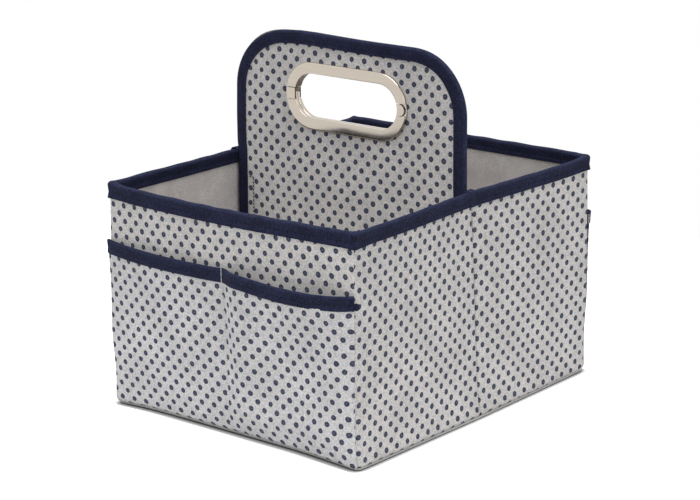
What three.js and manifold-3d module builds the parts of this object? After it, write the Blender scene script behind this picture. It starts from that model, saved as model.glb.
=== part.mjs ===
// Nursery caddy: a stiffened cloth bin with a tall divider, a metal grip in the divider,
// two open compartments with lift-out base inserts, and a pair of pockets on each short face.
// Millimetres, +Z up. The origin is the centre of the base, on the surface it stands on.
// X runs across the pocket faces, Y runs along the two long sides that carry a centre seam.
import * as THREE from "three";
import { mergeVertices } from "three/addons/utils/BufferGeometryUtils.js";
import Module from "manifold-3d";

const wasm = await Module();
wasm.setup();

// Overall size
const caddyWidth = 245; // across a pocket face, outside the rim binding
const caddyLength = 295; // along a long side, outside the rim binding
const rimHeight = 180;
const dividerHeight = 284;
const cornerRadius = 6; // upright corners of the outer cloth, in plan
const cornerSeamAngle = 45; // degrees round the corner from the near face to its seam
const rightSeamDip = 6.5; // how far the divider draws the right side in at its centre seam
const leftSeamBulge = 2.5; // how far it pushes the left side out there

// Cloth, board and clearance
const fit = 0.3; // clearance between two sewn or nested layers
const clothThickness = 0.5;
const wallBoardThickness = 1.4;
const dividerBoardThickness = 1.6;
const bindingThickness = 0.7; // bias tape folded double

// Rim
const rimBindingDepth = 12;
const rimLap = 3; // how far past the side seam a half of the rim binding ends

// Base
const baseEdgeHeight = 4.5; // turned-up edge of the underside cloth
const baseRoll = 2; // rounding under the bottom edge
const sideBoardGap = 2; // board ends short of the side seam, so that the seam can crease

// Lift-out base inserts
const insertBoardThickness = 2;
const insertMargin = 3; // to the lining on three sides
const insertGripClearance = 1; // to the metal grip that it is lifted past
const insertCornerRadius = 6;

// Divider
const dividerBindingDepth = 10.5;
const dividerTopRadius = 50;
const tabDrop = 9; // tops of the cloth tabs that tie the divider to the sides, below the rim binding
const tabReach = 20; // along the back of the divider
const tabFlange = 12; // along the long side

// Metal grip
const gripLength = 121;
const gripHeight = 54;
const gripDrop = 50; // middle of the grip, below the divider's top
const gripOpeningLength = 103;
const gripOpeningHeight = 36;
const gripProud = 2.2; // height of the frame above the divider's cloth
const gripBevel = 0.5;
const gripSleeveThickness = 1;
const gripBlockHeight = 9;
const squareBlockGap = 0.6; // dark gap between the square block and the inner wall
const roundBlockLength = 6.6;
const roundBlockGap = 1.2; // crescent gap at the tip of the round block
const rivetRadius = 1.2;
const rivetWeb = 1.2; // cloth left between the round block's rivet and the opening
const rivetInset = 0.8; // rivet ends below the face of the blocks

// Pockets
const pocketBindingDepth = 11.5;
const pocketSeamX = -5; // the seam that parts the two pockets of a face
const pocketEndHeight = 134; // binding's top at the upright corners
const pocketSeamHeight = 131.8;
const wideBulge = 11; // how far the slack pocket's cloth stands off the wall
const wideSag = 3; // how far its mouth hangs between the seams
const flatBulge = 6;
const flatSag = 0.4;
const bulgeSquareness = 0.55; // 1 is a sine, and less is steeper at the two ends
const riseRoundness = 3; // 1 slopes evenly from the bottom seam, and more fills out lower down
const bindingRoomFrom = 0.7; // share of the height where the cloth starts to clear the binding
const bindingRoomTo = 0.9;
const pocketColumns = 16; // facets across one pocket
const pocketRows = 8;

// Facets of a quarter turn
const cornerFacets = 5;
const rollFacets = 3;
const gripFacets = 6;

// Worked-out sizes, from outside to inside
const wallFace = bindingThickness + fit; // outer cloth, in from the rim binding
const boardFace = wallFace + clothThickness + fit;
const liningFace = boardFace + wallBoardThickness + fit;
const wallInside = liningFace + clothThickness;
const rimInside = wallInside + fit + bindingThickness;
const halfWidth = caddyWidth / 2;
const halfLength = caddyLength / 2;
const coverHalfX = halfWidth - wallFace;
const coverHalfY = halfLength - wallFace;
const wallTop = rimHeight - bindingThickness - fit;
const coverBottom = baseEdgeHeight + fit;
const baseLiningBottom = clothThickness + fit;
const baseLiningTop = baseLiningBottom + clothThickness;
const boardBottom = clothThickness + baseRoll + fit; // and of the wall linings
const insertBottom = baseLiningTop + fit;

const sideKnee = coverHalfY - cornerRadius; // a side runs straight from here to its seam
const dividerHalfX = halfWidth - rimInside - fit - (rightSeamDip - leftSeamBulge) / 2;
const dividerCentreX = -(rightSeamDip + leftSeamBulge) / 2;
const dividerBottom = baseLiningTop + fit;
const dividerCoverFace = dividerBoardThickness / 2 + fit;
const dividerFace = dividerCoverFace + clothThickness;
const dividerBindingFace = dividerFace + fit + bindingThickness;
const gripCentreHeight = dividerHeight - gripDrop;
const gripBack = dividerFace + fit;
const gripFace = gripBack + gripProud;

const palette = {
  dotted: { color: 0xccc7c1, roughness: 0.92, metalness: 0 },
  navy: { color: 0x28304a, roughness: 0.85, metalness: 0 },
  lining: { color: 0xb9b5b0, roughness: 0.95, metalness: 0 },
  underside: { color: 0xa9a7a4, roughness: 0.95, metalness: 0 },
  board: { color: 0x9a8f80, roughness: 0.9, metalness: 0 },
  nickel: { color: 0xcfc6bb, roughness: 0.25, metalness: 1 },
};

// A named mesh with a material of its own.
function piece(name, geometry, finish) {
  const mesh = new THREE.Mesh(geometry, new THREE.MeshStandardMaterial(palette[finish]));
  mesh.name = name;
  return mesh;
}

// A closed geometry as a solid for joining and cutting.
function solidOf(geometry) {
  const bare = geometry.clone();
  bare.deleteAttribute("normal");
  bare.deleteAttribute("uv");
  const merged = mergeVertices(bare, 1e-4);
  return new wasm.Manifold(
    new wasm.Mesh({
      numProp: 3,
      vertProperties: new Float32Array(merged.attributes.position.array),
      triVerts: new Uint32Array(merged.index.array),
    }),
  );
}

// The geometry of a solid.
function geometryOf(solid) {
  const mesh = solid.getMesh();
  const geometry = new THREE.BufferGeometry();
  geometry.setAttribute("position", new THREE.BufferAttribute(mesh.vertProperties, 3));
  geometry.setIndex(new THREE.BufferAttribute(mesh.triVerts, 1));
  geometry.computeVertexNormals();
  return geometry;
}

// A box between two corners.
function boxBetween(low, high) {
  const geometry = new THREE.BoxGeometry(high[0] - low[0], high[1] - low[1], high[2] - low[2]);
  return geometry.translate((low[0] + high[0]) / 2, (low[1] + high[1]) / 2, (low[2] + high[2]) / 2);
}

// A rectangle with round corners, centred on (x, y), drawn anticlockwise.
function traceRoundRect(outline, x, y, halfX, halfY, radius) {
  outline.moveTo(x + halfX, y + halfY - radius);
  outline.absarc(x + halfX - radius, y + halfY - radius, radius, 0, Math.PI / 2, false);
  outline.absarc(x - halfX + radius, y + halfY - radius, radius, Math.PI / 2, Math.PI, false);
  outline.absarc(x - halfX + radius, y - halfY + radius, radius, Math.PI, Math.PI * 1.5, false);
  outline.absarc(x + halfX - radius, y - halfY + radius, radius, Math.PI * 1.5, Math.PI * 2, false);
  return outline;
}

function roundRect(x, y, halfX, halfY, radius) {
  return traceRoundRect(new THREE.Shape(), x, y, halfX, halfY, radius);
}

// A plan outline raised from one height to another.
function raised(shape, bottom, top, facets) {
  const options = { depth: top - bottom, bevelEnabled: false, curveSegments: facets };
  return new THREE.ExtrudeGeometry(shape, options).translate(0, 0, bottom);
}

// An outline drawn in X and Z, made into an upright plate between two values of Y.
function upright(shape, nearY, farY, facets) {
  const geometry = raised(shape, -farY, -nearY, facets);
  return geometry.rotateX(Math.PI / 2);
}

// A strip swept through stations. Each station has a point and two directions, and
// sectionAt(station) gives the section's closed outline as pairs along those directions,
// drawn clockwise. The stations run against the cross product of the two directions.
function swept(stations, sectionAt) {
  const rings = stations.map(sectionAt);
  const count = rings[0].length;
  const positions = [];
  stations.forEach((station, i) => {
    for (const [a, b] of rings[i]) {
      const point = station.at.clone();
      point.addScaledVector(station.out, a).addScaledVector(station.up, b);
      positions.push(point.x, point.y, point.z);
    }
  });
  const faces = [];
  for (let i = 0; i + 1 < stations.length; i++) {
    for (let j = 0; j < count; j++) {
      const a = i * count + j;
      const b = i * count + ((j + 1) % count);
      faces.push(a, b, b + count, a, b + count, a + count);
    }
  }
  const last = (stations.length - 1) * count;
  for (const end of [0, last]) {
    const outline = rings[end / count].map(([a, b]) => new THREE.Vector2(a, b));
    for (const [a, b, c] of THREE.ShapeUtils.triangulateShape(outline, [])) {
      if (end === 0) faces.push(a, b, c);
      else faces.push(end + a, end + c, end + b);
    }
  }
  const geometry = new THREE.BufferGeometry();
  geometry.setAttribute("position", new THREE.Float32BufferAttribute(positions, 3));
  geometry.setIndex(faces);
  geometry.computeVertexNormals();
  return geometry;
}

// A rectangle section for swept().
function bandSection(near, far, bottom, top) {
  return () => [
    [near, bottom],
    [far, bottom],
    [far, top],
    [near, top],
  ];
}

// An upside-down U section, open below: outer face, inner face, bottom, top.
function channelSection(outer, inner, bottom, top) {
  const t = bindingThickness;
  return [
    [outer, bottom],
    [outer - t, bottom],
    [outer - t, top - t],
    [inner + t, top - t],
    [inner + t, bottom],
    [inner, bottom],
    [inner, top],
    [outer, top],
  ];
}

// A station of the plan outline, facing outward.
function planStation(x, y, outX, outY) {
  return {
    at: new THREE.Vector3(x, y, 0),
    out: new THREE.Vector3(outX, outY, 0),
    up: new THREE.Vector3(0, 0, 1),
  };
}

// Stations round one corner of the near end. Angle 0 faces the near end, 90 degrees the side.
function cornerStations(side, halfX, halfY, radius, fromDegrees, toDegrees) {
  const steps = Math.max(1, Math.round((Math.abs(toDegrees - fromDegrees) / 90) * cornerFacets));
  const stations = [];
  for (let i = 0; i <= steps; i++) {
    const angle = THREE.MathUtils.degToRad(fromDegrees + ((toDegrees - fromDegrees) * i) / steps);
    const outX = side * Math.sin(angle);
    const outY = -Math.cos(angle);
    const x = side * (halfX - radius) + radius * outX;
    const y = -(halfY - radius) + radius * outY;
    stations.push(planStation(x, y, outX, outY));
  }
  return stations;
}

// How far in from its straight line a side lies at y, for the dip at its centre seam.
function sideShift(dip, y) {
  return dip * Math.max(0, 1 - Math.abs(y) / sideKnee);
}

// A station of one side, at a distance in from the outside of the rim.
function sideStation(side, dip, depth, y) {
  return planStation(side * (halfWidth - depth - sideShift(dip, y)), y, side, 0);
}

// A sheet of one side between two values of y, at a depth in from the outside of the rim.
function sideSheet(side, dip, depth, thickness, nearY, farY, bottom, top) {
  const along = [nearY, ...[-sideKnee].filter((y) => y > nearY && y < farY), farY];
  const stations = along.map((y) => sideStation(side, dip, depth, y));
  const section = bandSection(0, -thickness, bottom, top);
  return swept(side < 0 ? stations.reverse() : stations, section);
}

// Outer cloth of the near end and of the near half of each long side.
// The panels meet at the upright corner seams, and the sides meet at their centre seam.
const seamHalfGap = THREE.MathUtils.radToDeg(fit / 2 / cornerRadius);
const endSeamAngle = cornerSeamAngle - seamHalfGap;
const sideSeamAngle = cornerSeamAngle + seamHalfGap;
const coverBand = bandSection(0, -clothThickness, coverBottom, wallTop);

function coverCorner(side, from, to) {
  return cornerStations(side, coverHalfX, coverHalfY, cornerRadius, from, to);
}

function endCover() {
  const stations = [...coverCorner(-1, endSeamAngle, 0), ...coverCorner(1, 0, endSeamAngle)];
  return swept(stations, coverBand);
}

function sideCover(side, dip) {
  const along = [
    sideStation(side, dip, wallFace, -fit / 2),
    ...coverCorner(side, 90, sideSeamAngle),
  ];
  return swept(side < 0 ? along : along.reverse(), coverBand);
}

// Stiffening boards, one behind each outer panel, ending short of the upright corners.
function endBoard() {
  const halfX = coverHalfX - cornerRadius;
  const outer = -(halfLength - boardFace);
  return boxBetween([-halfX, outer, boardBottom], [halfX, outer + wallBoardThickness, wallTop]);
}

function sideBoard(side, dip) {
  const ends = [-sideKnee, -sideBoardGap];
  return sideSheet(side, dip, boardFace, wallBoardThickness, ...ends, boardBottom, wallTop);
}

// Inner lining, flat sheets that butt in the corners.
function endLining() {
  const halfX = halfWidth - liningFace;
  const outer = -(halfLength - liningFace);
  const low = [-halfX, outer, boardBottom];
  return boxBetween(low, [halfX, outer + clothThickness, wallTop]);
}

function sideLining(side, dip) {
  const ends = [-(halfLength - wallInside - fit), -fit / 2];
  return sideSheet(side, dip, liningFace, clothThickness, ...ends, boardBottom, wallTop);
}

// Half of the rim binding: a folded tape over the near end and half of each side.
function rimBinding(leftDip, rightDip) {
  const radius = cornerRadius + wallFace;
  const corner = (side, from, to) => cornerStations(side, halfWidth, halfLength, radius, from, to);
  const stations = [
    sideStation(-1, leftDip, 0, -rimLap - fit / 2),
    ...corner(-1, 90, 0),
    ...corner(1, 0, 90),
    sideStation(1, rightDip, 0, 0),
    sideStation(1, rightDip, 0, rimLap - fit / 2),
  ];
  return swept(stations, () =>
    channelSection(0, -rimInside, rimHeight - rimBindingDepth, rimHeight),
  );
}

// Pockets of one face: one cloth panel, sewn at both corners, along the bottom and at one
// upright seam, so that it stands off the wall as two pockets.
function pocketStations() {
  const stations = [];
  const straight = coverHalfX - cornerRadius;
  const spans = [
    [-straight, pocketSeamX],
    [pocketSeamX, straight],
  ];
  for (const [from, to] of spans) {
    for (let i = 0; i <= pocketColumns; i++) {
      if (from === pocketSeamX && i === 0) continue;
      const x = from + ((to - from) * i) / pocketColumns;
      stations.push(planStation(x, -coverHalfY, 0, -1));
    }
  }
  return [
    ...coverCorner(-1, endSeamAngle, 0).slice(0, -1),
    ...stations,
    ...coverCorner(1, 0, endSeamAngle).slice(1),
  ];
}

// Share of the way across the pocket that a station lies in, and which pocket that is.
function pocketShare(station) {
  const end = coverHalfX - cornerRadius;
  const x = THREE.MathUtils.clamp(station.at.x, -end, end);
  const wide = x > pocketSeamX;
  const from = wide ? pocketSeamX : -end;
  const to = wide ? end : pocketSeamX;
  return { wide, share: (x - from) / (to - from) };
}

// Height of the binding's top, which hangs a little between its seams.
function mouthHeight(station) {
  const { wide, share } = pocketShare(station);
  const toEnd = wide ? share : 1 - share;
  const level = THREE.MathUtils.lerp(pocketSeamHeight, pocketEndHeight, toEnd);
  return level - (wide ? wideSag : flatSag) * Math.sin(Math.PI * share);
}

// Distance from the wall's cloth to the pocket's cloth, at a share of the height.
function pocketStandOff(station, height) {
  const { wide, share } = pocketShare(station);
  const swell = Math.max(0, Math.sin(Math.PI * share)) ** bulgeSquareness;
  const rise = 1 - (1 - height) ** riseRoundness;
  const blend = THREE.MathUtils.smoothstep(height, bindingRoomFrom, bindingRoomTo);
  return fit + blend * (bindingThickness + fit) + (wide ? wideBulge : flatBulge) * swell * rise;
}

function pocketPanel() {
  return swept(pocketStations(), (station) => {
    const top = mouthHeight(station) - bindingThickness - fit;
    const outer = [];
    const inner = [];
    for (let j = 0; j <= pocketRows; j++) {
      const height = j / pocketRows;
      const z = THREE.MathUtils.lerp(coverBottom, top, height);
      const gap = pocketStandOff(station, height);
      outer.push([gap + clothThickness, z]);
      inner.push([gap, z]);
    }
    return [...inner, ...outer.reverse()];
  });
}

function pocketBinding() {
  return swept(pocketStations(), (station) => {
    const top = mouthHeight(station);
    const gap = pocketStandOff(station, 1);
    const outer = gap + clothThickness + fit + bindingThickness;
    const inner = gap - fit - bindingThickness;
    return channelSection(outer, inner, top - pocketBindingDepth, top);
  });
}

// Lift-out insert: a board, and a cloth cover over its top and edges.
const insertHalfX = halfWidth - wallInside - rightSeamDip - insertMargin;
const insertFarY = -(halfLength - wallInside - insertMargin);
const insertNearY = -(gripFace + insertGripClearance);

function insertOutline(inset) {
  const middle = (insertFarY + insertNearY) / 2;
  const halfY = (insertNearY - insertFarY) / 2;
  return roundRect(0, middle, insertHalfX - inset, halfY - inset, insertCornerRadius - inset);
}

function insertBoard() {
  const outline = insertOutline(clothThickness + fit);
  return raised(outline, insertBottom, insertBottom + insertBoardThickness, cornerFacets);
}

function insertCover() {
  const boardTop = insertBottom + insertBoardThickness + fit;
  const outside = raised(insertOutline(0), insertBottom, boardTop + clothThickness, cornerFacets);
  const inside = raised(insertOutline(clothThickness), 0, boardTop, cornerFacets);
  return geometryOf(solidOf(outside).subtract(solidOf(inside)));
}

// One end of the caddy with its halves of the long sides. The far end is the same, turned round.
// Each side is a name and the dip at its centre seam.
function caddyEnd(end, left, right) {
  const group = new THREE.Group();
  group.add(
    piece(`${end}_outer_cover`, endCover(), "dotted"),
    piece(`${end}_board`, endBoard(), "board"),
    piece(`${end}_lining`, endLining(), "lining"),
    piece(`${end}_rim_binding`, rimBinding(left.dip, right.dip), "navy"),
    piece(`${end}_pocket_panel`, pocketPanel(), "dotted"),
    piece(`${end}_pocket_binding`, pocketBinding(), "navy"),
    piece(`${end}_insert_board`, insertBoard(), "board"),
    piece(`${end}_insert_cover`, insertCover(), "lining"),
  );
  for (const [side, { name, dip }] of [
    [-1, left],
    [1, right],
  ]) {
    group.add(
      piece(`${name}_outer_cover`, sideCover(side, dip), "dotted"),
      piece(`${name}_board`, sideBoard(side, dip), "board"),
      piece(`${name}_lining`, sideLining(side, dip), "lining"),
    );
  }
  return group;
}

// Plan outline of the base, at a depth in from the outside of the rim.
function baseOutline(depth, radius) {
  const x = halfWidth - depth;
  const y = halfLength - depth;
  const shape = new THREE.Shape();
  shape.moveTo(x - rightSeamDip, 0);
  shape.absarc(x - radius, y - radius, radius, 0, Math.PI / 2, false);
  shape.absarc(-x + radius, y - radius, radius, Math.PI / 2, Math.PI, false);
  shape.lineTo(-x - leftSeamBulge, 0);
  shape.absarc(-x + radius, -y + radius, radius, Math.PI, Math.PI * 1.5, false);
  shape.absarc(x - radius, -y + radius, radius, Math.PI * 1.5, Math.PI * 2, false);
  return shape;
}

// Underside cloth, turned up round the edge.
function baseTray(inset, lift) {
  const geometry = new THREE.ExtrudeGeometry(baseOutline(wallFace + inset, cornerRadius - inset), {
    depth: baseEdgeHeight,
    bevelThickness: baseRoll,
    bevelSize: baseRoll,
    bevelOffset: -baseRoll,
    bevelSegments: rollFacets,
    curveSegments: cornerFacets,
  });
  return solidOf(geometry.translate(0, 0, baseRoll + lift));
}

function baseOuterCover() {
  const above = boxBetween(
    [-caddyWidth, -caddyLength, baseEdgeHeight],
    [caddyWidth, caddyLength, rimHeight],
  );
  const tray = baseTray(0, 0).subtract(baseTray(clothThickness, clothThickness));
  return geometryOf(tray.subtract(solidOf(above)));
}

function baseLining() {
  return raised(baseOutline(wallInside + fit, fit), baseLiningBottom, baseLiningTop, 1);
}

// Divider outline in X and Z, drawn in by an inset, with its bottom edge at a given height.
function dividerOutline(inset, bottom) {
  const halfX = dividerHalfX - inset;
  const top = dividerHeight - inset;
  const radius = dividerTopRadius - inset;
  const shape = new THREE.Shape();
  shape.moveTo(-halfX, bottom);
  shape.lineTo(halfX, bottom);
  shape.lineTo(halfX, top - radius);
  shape.absarc(halfX - radius, top - radius, radius, 0, Math.PI / 2, false);
  shape.absarc(-halfX + radius, top - radius, radius, Math.PI / 2, Math.PI, false);
  return shape;
}

// Grip outlines are centred on the grip: the opening, grown by a margin.
function openingOutline(outline, margin) {
  const halfX = gripOpeningLength / 2 + margin;
  const halfZ = gripOpeningHeight / 2 + margin;
  return traceRoundRect(outline, 0, gripCentreHeight, halfX, halfZ, halfZ);
}

const sleeveOuter = gripOpeningLength / 2 + gripSleeveThickness;
const beyondGrip = gripFace + gripProud; // clear of the frame's face, for cutting
const squareBlockInner = sleeveOuter + squareBlockGap;
const squareRivetX = -(squareBlockInner + gripLength / 2) / 2;
const roundBlockTip = gripOpeningLength / 2 + roundBlockLength;
const roundRivetX = sleeveOuter + fit + rivetWeb + rivetRadius + fit;

function rivetHole(x) {
  const hole = new THREE.Path();
  hole.absarc(x, gripCentreHeight, rivetRadius + fit, 0, Math.PI * 2, false);
  return hole;
}

// A layer of the divider, pierced for the grip and its rivets.
function dividerLayer(nearY, farY) {
  const shape = dividerOutline(bindingThickness + fit, dividerBottom);
  shape.holes.push(openingOutline(new THREE.Path(), gripSleeveThickness + fit));
  shape.holes.push(rivetHole(squareRivetX), rivetHole(roundRivetX));
  return upright(shape, nearY, farY, gripFacets);
}

// Binding round the sides and top of the divider.
function dividerBinding() {
  const halfX = dividerHalfX;
  const radius = dividerTopRadius;
  const station = (x, z, outX, outZ) => ({
    at: new THREE.Vector3(x, 0, z),
    out: new THREE.Vector3(outX, 0, outZ),
    up: new THREE.Vector3(0, 1, 0),
  });
  const steps = 2 * gripFacets;
  const arc = (side, from, to) => {
    const stations = [];
    for (let i = 0; i <= steps; i++) {
      const angle = THREE.MathUtils.degToRad(from + ((to - from) * i) / steps);
      const outX = side * Math.cos(angle);
      const outZ = Math.sin(angle);
      const x = side * (halfX - radius) + radius * outX;
      stations.push(station(x, dividerHeight - radius + radius * outZ, outX, outZ));
    }
    return stations;
  };
  const stations = [
    station(-halfX, dividerBottom, -1, 0),
    ...arc(-1, 0, 90),
    ...arc(1, 90, 0),
    station(halfX, dividerBottom, 1, 0),
  ];
  const t = bindingThickness;
  const face = dividerBindingFace;
  const section = [
    [-dividerBindingDepth, -face + t],
    [-t, -face + t],
    [-t, face - t],
    [-dividerBindingDepth, face - t],
    [-dividerBindingDepth, face],
    [0, face],
    [0, -face],
    [-dividerBindingDepth, -face],
  ];
  return swept(stations, () => section);
}

// Cloth tab in the corner behind the divider: one leg on the divider, one on the long side.
// It is drawn from the divider's own centre, and the side's lining runs at a slant past it.
function dividerTab(side, dip) {
  const back = dividerBindingFace + fit;
  const end = back + tabFlange;
  const inner = side * (dividerHalfX - tabReach);
  const outer = (y, depth) =>
    side * (halfWidth - wallInside - fit - depth - sideShift(dip, y)) - dividerCentreX;
  const shape = new THREE.Shape();
  shape.moveTo(inner, back);
  shape.lineTo(outer(back, 0), back);
  shape.lineTo(outer(end, 0), end);
  shape.lineTo(outer(end, clothThickness), end);
  shape.lineTo(outer(back + clothThickness, clothThickness), back + clothThickness);
  shape.lineTo(inner, back + clothThickness);
  return raised(shape, dividerBottom, rimHeight - rimBindingDepth - tabDrop, 1);
}

// Metal grip: one face of the divider carries an upper and a lower frame and two end blocks.
// Everything here is for the near face, and the far face is its mirror image.
function gripFlange() {
  const shape = new THREE.Shape();
  traceRoundRect(shape, 0, gripCentreHeight, gripLength / 2, gripHeight / 2, gripHeight / 2);
  shape.holes.push(openingOutline(new THREE.Path(), 0));
  const geometry = new THREE.ExtrudeGeometry(shape, {
    depth: gripProud - 2 * gripBevel,
    bevelThickness: gripBevel,
    bevelSize: gripBevel,
    bevelOffset: -gripBevel,
    bevelSegments: 1,
    curveSegments: gripFacets,
  });
  geometry.translate(0, 0, gripBack + gripBevel);
  return solidOf(geometry.rotateX(Math.PI / 2));
}

function gripSleeve() {
  const shape = openingOutline(new THREE.Shape(), gripSleeveThickness);
  shape.holes.push(openingOutline(new THREE.Path(), gripBevel));
  const middle = gripBack + gripProud / 2;
  return solidOf(upright(shape, -middle, -fit / 2, gripFacets));
}

// A slab across the whole grip between two heights above or below its centre.
function gripSlab(low, high, nearY, farY) {
  const bottom = gripCentreHeight + low;
  const top = gripCentreHeight + high;
  return solidOf(boxBetween([-gripLength, nearY, bottom], [gripLength, farY, top]));
}

// The seat of the square block, grown by a margin above and below and by a gap at its inner end.
function squareSeat(margin, gap) {
  const halfZ = gripBlockHeight / 2 + margin;
  const inner = -(squareBlockInner - gap);
  const low = [-gripLength, -beyondGrip, gripCentreHeight - halfZ];
  return solidOf(boxBetween(low, [inner, -dividerFace, gripCentreHeight + halfZ]));
}

// The seat of the round block: straight sides from the opening, and a round tip.
function roundSeat(margin, gap) {
  const halfZ = gripBlockHeight / 2 + margin;
  const tip = roundBlockTip + gap;
  const shape = new THREE.Shape();
  shape.moveTo(0, gripCentreHeight - halfZ);
  shape.lineTo(tip - halfZ, gripCentreHeight - halfZ);
  shape.absarc(tip - halfZ, gripCentreHeight, halfZ, -Math.PI / 2, Math.PI / 2, false);
  shape.lineTo(0, gripCentreHeight + halfZ);
  return solidOf(upright(shape, -beyondGrip, -dividerFace, gripFacets));
}

// A rivet through the divider and both blocks, or its hole when grown by a margin.
function rivet(x, margin) {
  const radius = rivetRadius + margin;
  const length = 2 * (gripFace - rivetInset + margin);
  const geometry = new THREE.CylinderGeometry(radius, radius, length, 2 * gripFacets);
  return geometry.translate(x, 0, gripCentreHeight);
}

function gripSide(face) {
  const flange = gripFlange();
  const whole = flange.add(gripSleeve());
  const clearance = gripBlockHeight / 2 + fit;
  const below = gripSlab(-gripHeight, clearance, -beyondGrip, 0);
  const above = gripSlab(gripBlockHeight / 2, gripHeight, -beyondGrip, 0);
  const seats = squareSeat(fit, squareBlockGap).add(roundSeat(fit, roundBlockGap));
  const squareHole = solidOf(rivet(squareRivetX, fit));
  const roundHole = solidOf(rivet(roundRivetX, fit));
  const square = flange.intersect(squareSeat(0, 0)).subtract(squareHole);
  const round = flange.intersect(roundSeat(0, 0)).subtract(roundHole);
  const group = new THREE.Group();
  group.add(
    piece(`grip_${face}_upper_frame`, geometryOf(whole.subtract(below)), "nickel"),
    piece(`grip_${face}_lower_frame`, geometryOf(whole.subtract(above).subtract(seats)), "nickel"),
    piece(`grip_${face}_square_block`, geometryOf(square), "nickel"),
    piece(`grip_${face}_round_block`, geometryOf(round), "nickel"),
  );
  return group;
}

function divider() {
  const group = new THREE.Group();
  const half = dividerBoardThickness / 2;
  group.add(
    piece("divider_board", dividerLayer(-half, half), "board"),
    piece("divider_front_cover", dividerLayer(-dividerFace, -dividerCoverFace), "dotted"),
    piece("divider_back_cover", dividerLayer(dividerCoverFace, dividerFace), "dotted"),
    piece("divider_binding", dividerBinding(), "navy"),
    piece("divider_tab_left", dividerTab(-1, -leftSeamBulge), "dotted"),
    piece("divider_tab_right", dividerTab(1, rightSeamDip), "dotted"),
    piece("grip_rivet_left", rivet(squareRivetX, 0), "nickel"),
    piece("grip_rivet_right", rivet(roundRivetX, 0), "nickel"),
  );
  const backGrip = gripSide("back");
  backGrip.scale.y = -1;
  group.add(gripSide("front"), backGrip);
  group.position.x = dividerCentreX;
  return group;
}

const caddy = new THREE.Group();
const farEnd = caddyEnd(
  "back",
  { name: "right_back", dip: rightSeamDip },
  { name: "left_back", dip: -leftSeamBulge },
);
farEnd.rotation.z = Math.PI;
caddy.add(
  caddyEnd(
    "front",
    { name: "left_front", dip: -leftSeamBulge },
    { name: "right_front", dip: rightSeamDip },
  ),
  farEnd,
  piece("base_outer_cover", baseOuterCover(), "underside"),
  piece("base_lining", baseLining(), "lining"),
  divider(),
);

export default caddy;
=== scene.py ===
# %% [markdown]
# # A nursery caddy in stiffened cloth
# The real object is a small bin sewn from dotted cotton over grey board. A tall divider with a
# metal grip parts it in two, navy tape binds every edge, and a pair of pockets sits on each end.
# This notebook dresses the CAD model of it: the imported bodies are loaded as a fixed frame, and
# each cloth piece is made again, in full detail, in the place of its plain solid.

# %% Load the frame
from math import cos, pi, radians, sin, tau

import bmesh
import bpy
import numpy as np
from mathutils import Matrix, Vector


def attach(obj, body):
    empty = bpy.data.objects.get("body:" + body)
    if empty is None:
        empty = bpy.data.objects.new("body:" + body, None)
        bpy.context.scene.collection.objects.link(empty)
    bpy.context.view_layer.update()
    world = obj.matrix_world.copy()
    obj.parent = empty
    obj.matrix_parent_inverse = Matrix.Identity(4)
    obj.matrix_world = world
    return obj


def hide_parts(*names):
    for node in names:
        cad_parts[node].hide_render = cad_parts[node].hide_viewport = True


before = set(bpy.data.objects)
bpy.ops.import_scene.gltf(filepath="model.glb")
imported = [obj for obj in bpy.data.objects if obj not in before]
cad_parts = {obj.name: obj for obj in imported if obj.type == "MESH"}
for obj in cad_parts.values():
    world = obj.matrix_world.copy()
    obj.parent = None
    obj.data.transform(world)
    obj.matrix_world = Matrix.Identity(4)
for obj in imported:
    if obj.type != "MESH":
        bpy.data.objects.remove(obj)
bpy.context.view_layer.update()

MM = 0.001

# %% [markdown]
# ## Camera
# The view was found from the photograph's corners: a long lens, a little above the rim, looking
# past the near upright corner. A camera is a position and three directions, so its matrix is
# built from the azimuth, the elevation and a small roll.

# %% Place the camera
CAMERA_AT = Vector((1.08155, -1.30742, 0.58965))
AZIMUTH, ELEVATION, ROLL = radians(39.6993), radians(15.6649), radians(-0.5705)
LENS, SENSOR = 114.25, 36


def add_object(name, data):
    made = bpy.data.objects.new(name, data)
    bpy.context.scene.collection.objects.link(made)
    return made


backward = Vector((sin(AZIMUTH) * cos(ELEVATION), -cos(AZIMUTH) * cos(ELEVATION), sin(ELEVATION)))
level = Vector((0, 0, 1)).cross(backward).normalized()
upward = backward.cross(level)
rightward = cos(ROLL) * level + sin(ROLL) * upward
upward = -sin(ROLL) * level + cos(ROLL) * upward

camera = add_object("camera", bpy.data.cameras.new("camera"))
turn = Matrix((rightward, upward, backward)).transposed().to_4x4()
camera.matrix_world = Matrix.Translation(CAMERA_AT) @ turn
camera.data.sensor_width, camera.data.lens, camera.data.clip_end = SENSOR, LENS, 50
bpy.context.scene.camera = camera
bpy.context.scene.view_settings.view_transform = "Standard"
print("camera at", tuple(round(c, 3) for c in camera.location))

# %% [markdown]
# ## Node helpers
# Every finish below is a small graph of nodes. These helpers add a node, link it and return its
# output, so that a graph reads from top to bottom like a recipe. Plain numbers are set straight
# on the shader's own sockets.

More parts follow.
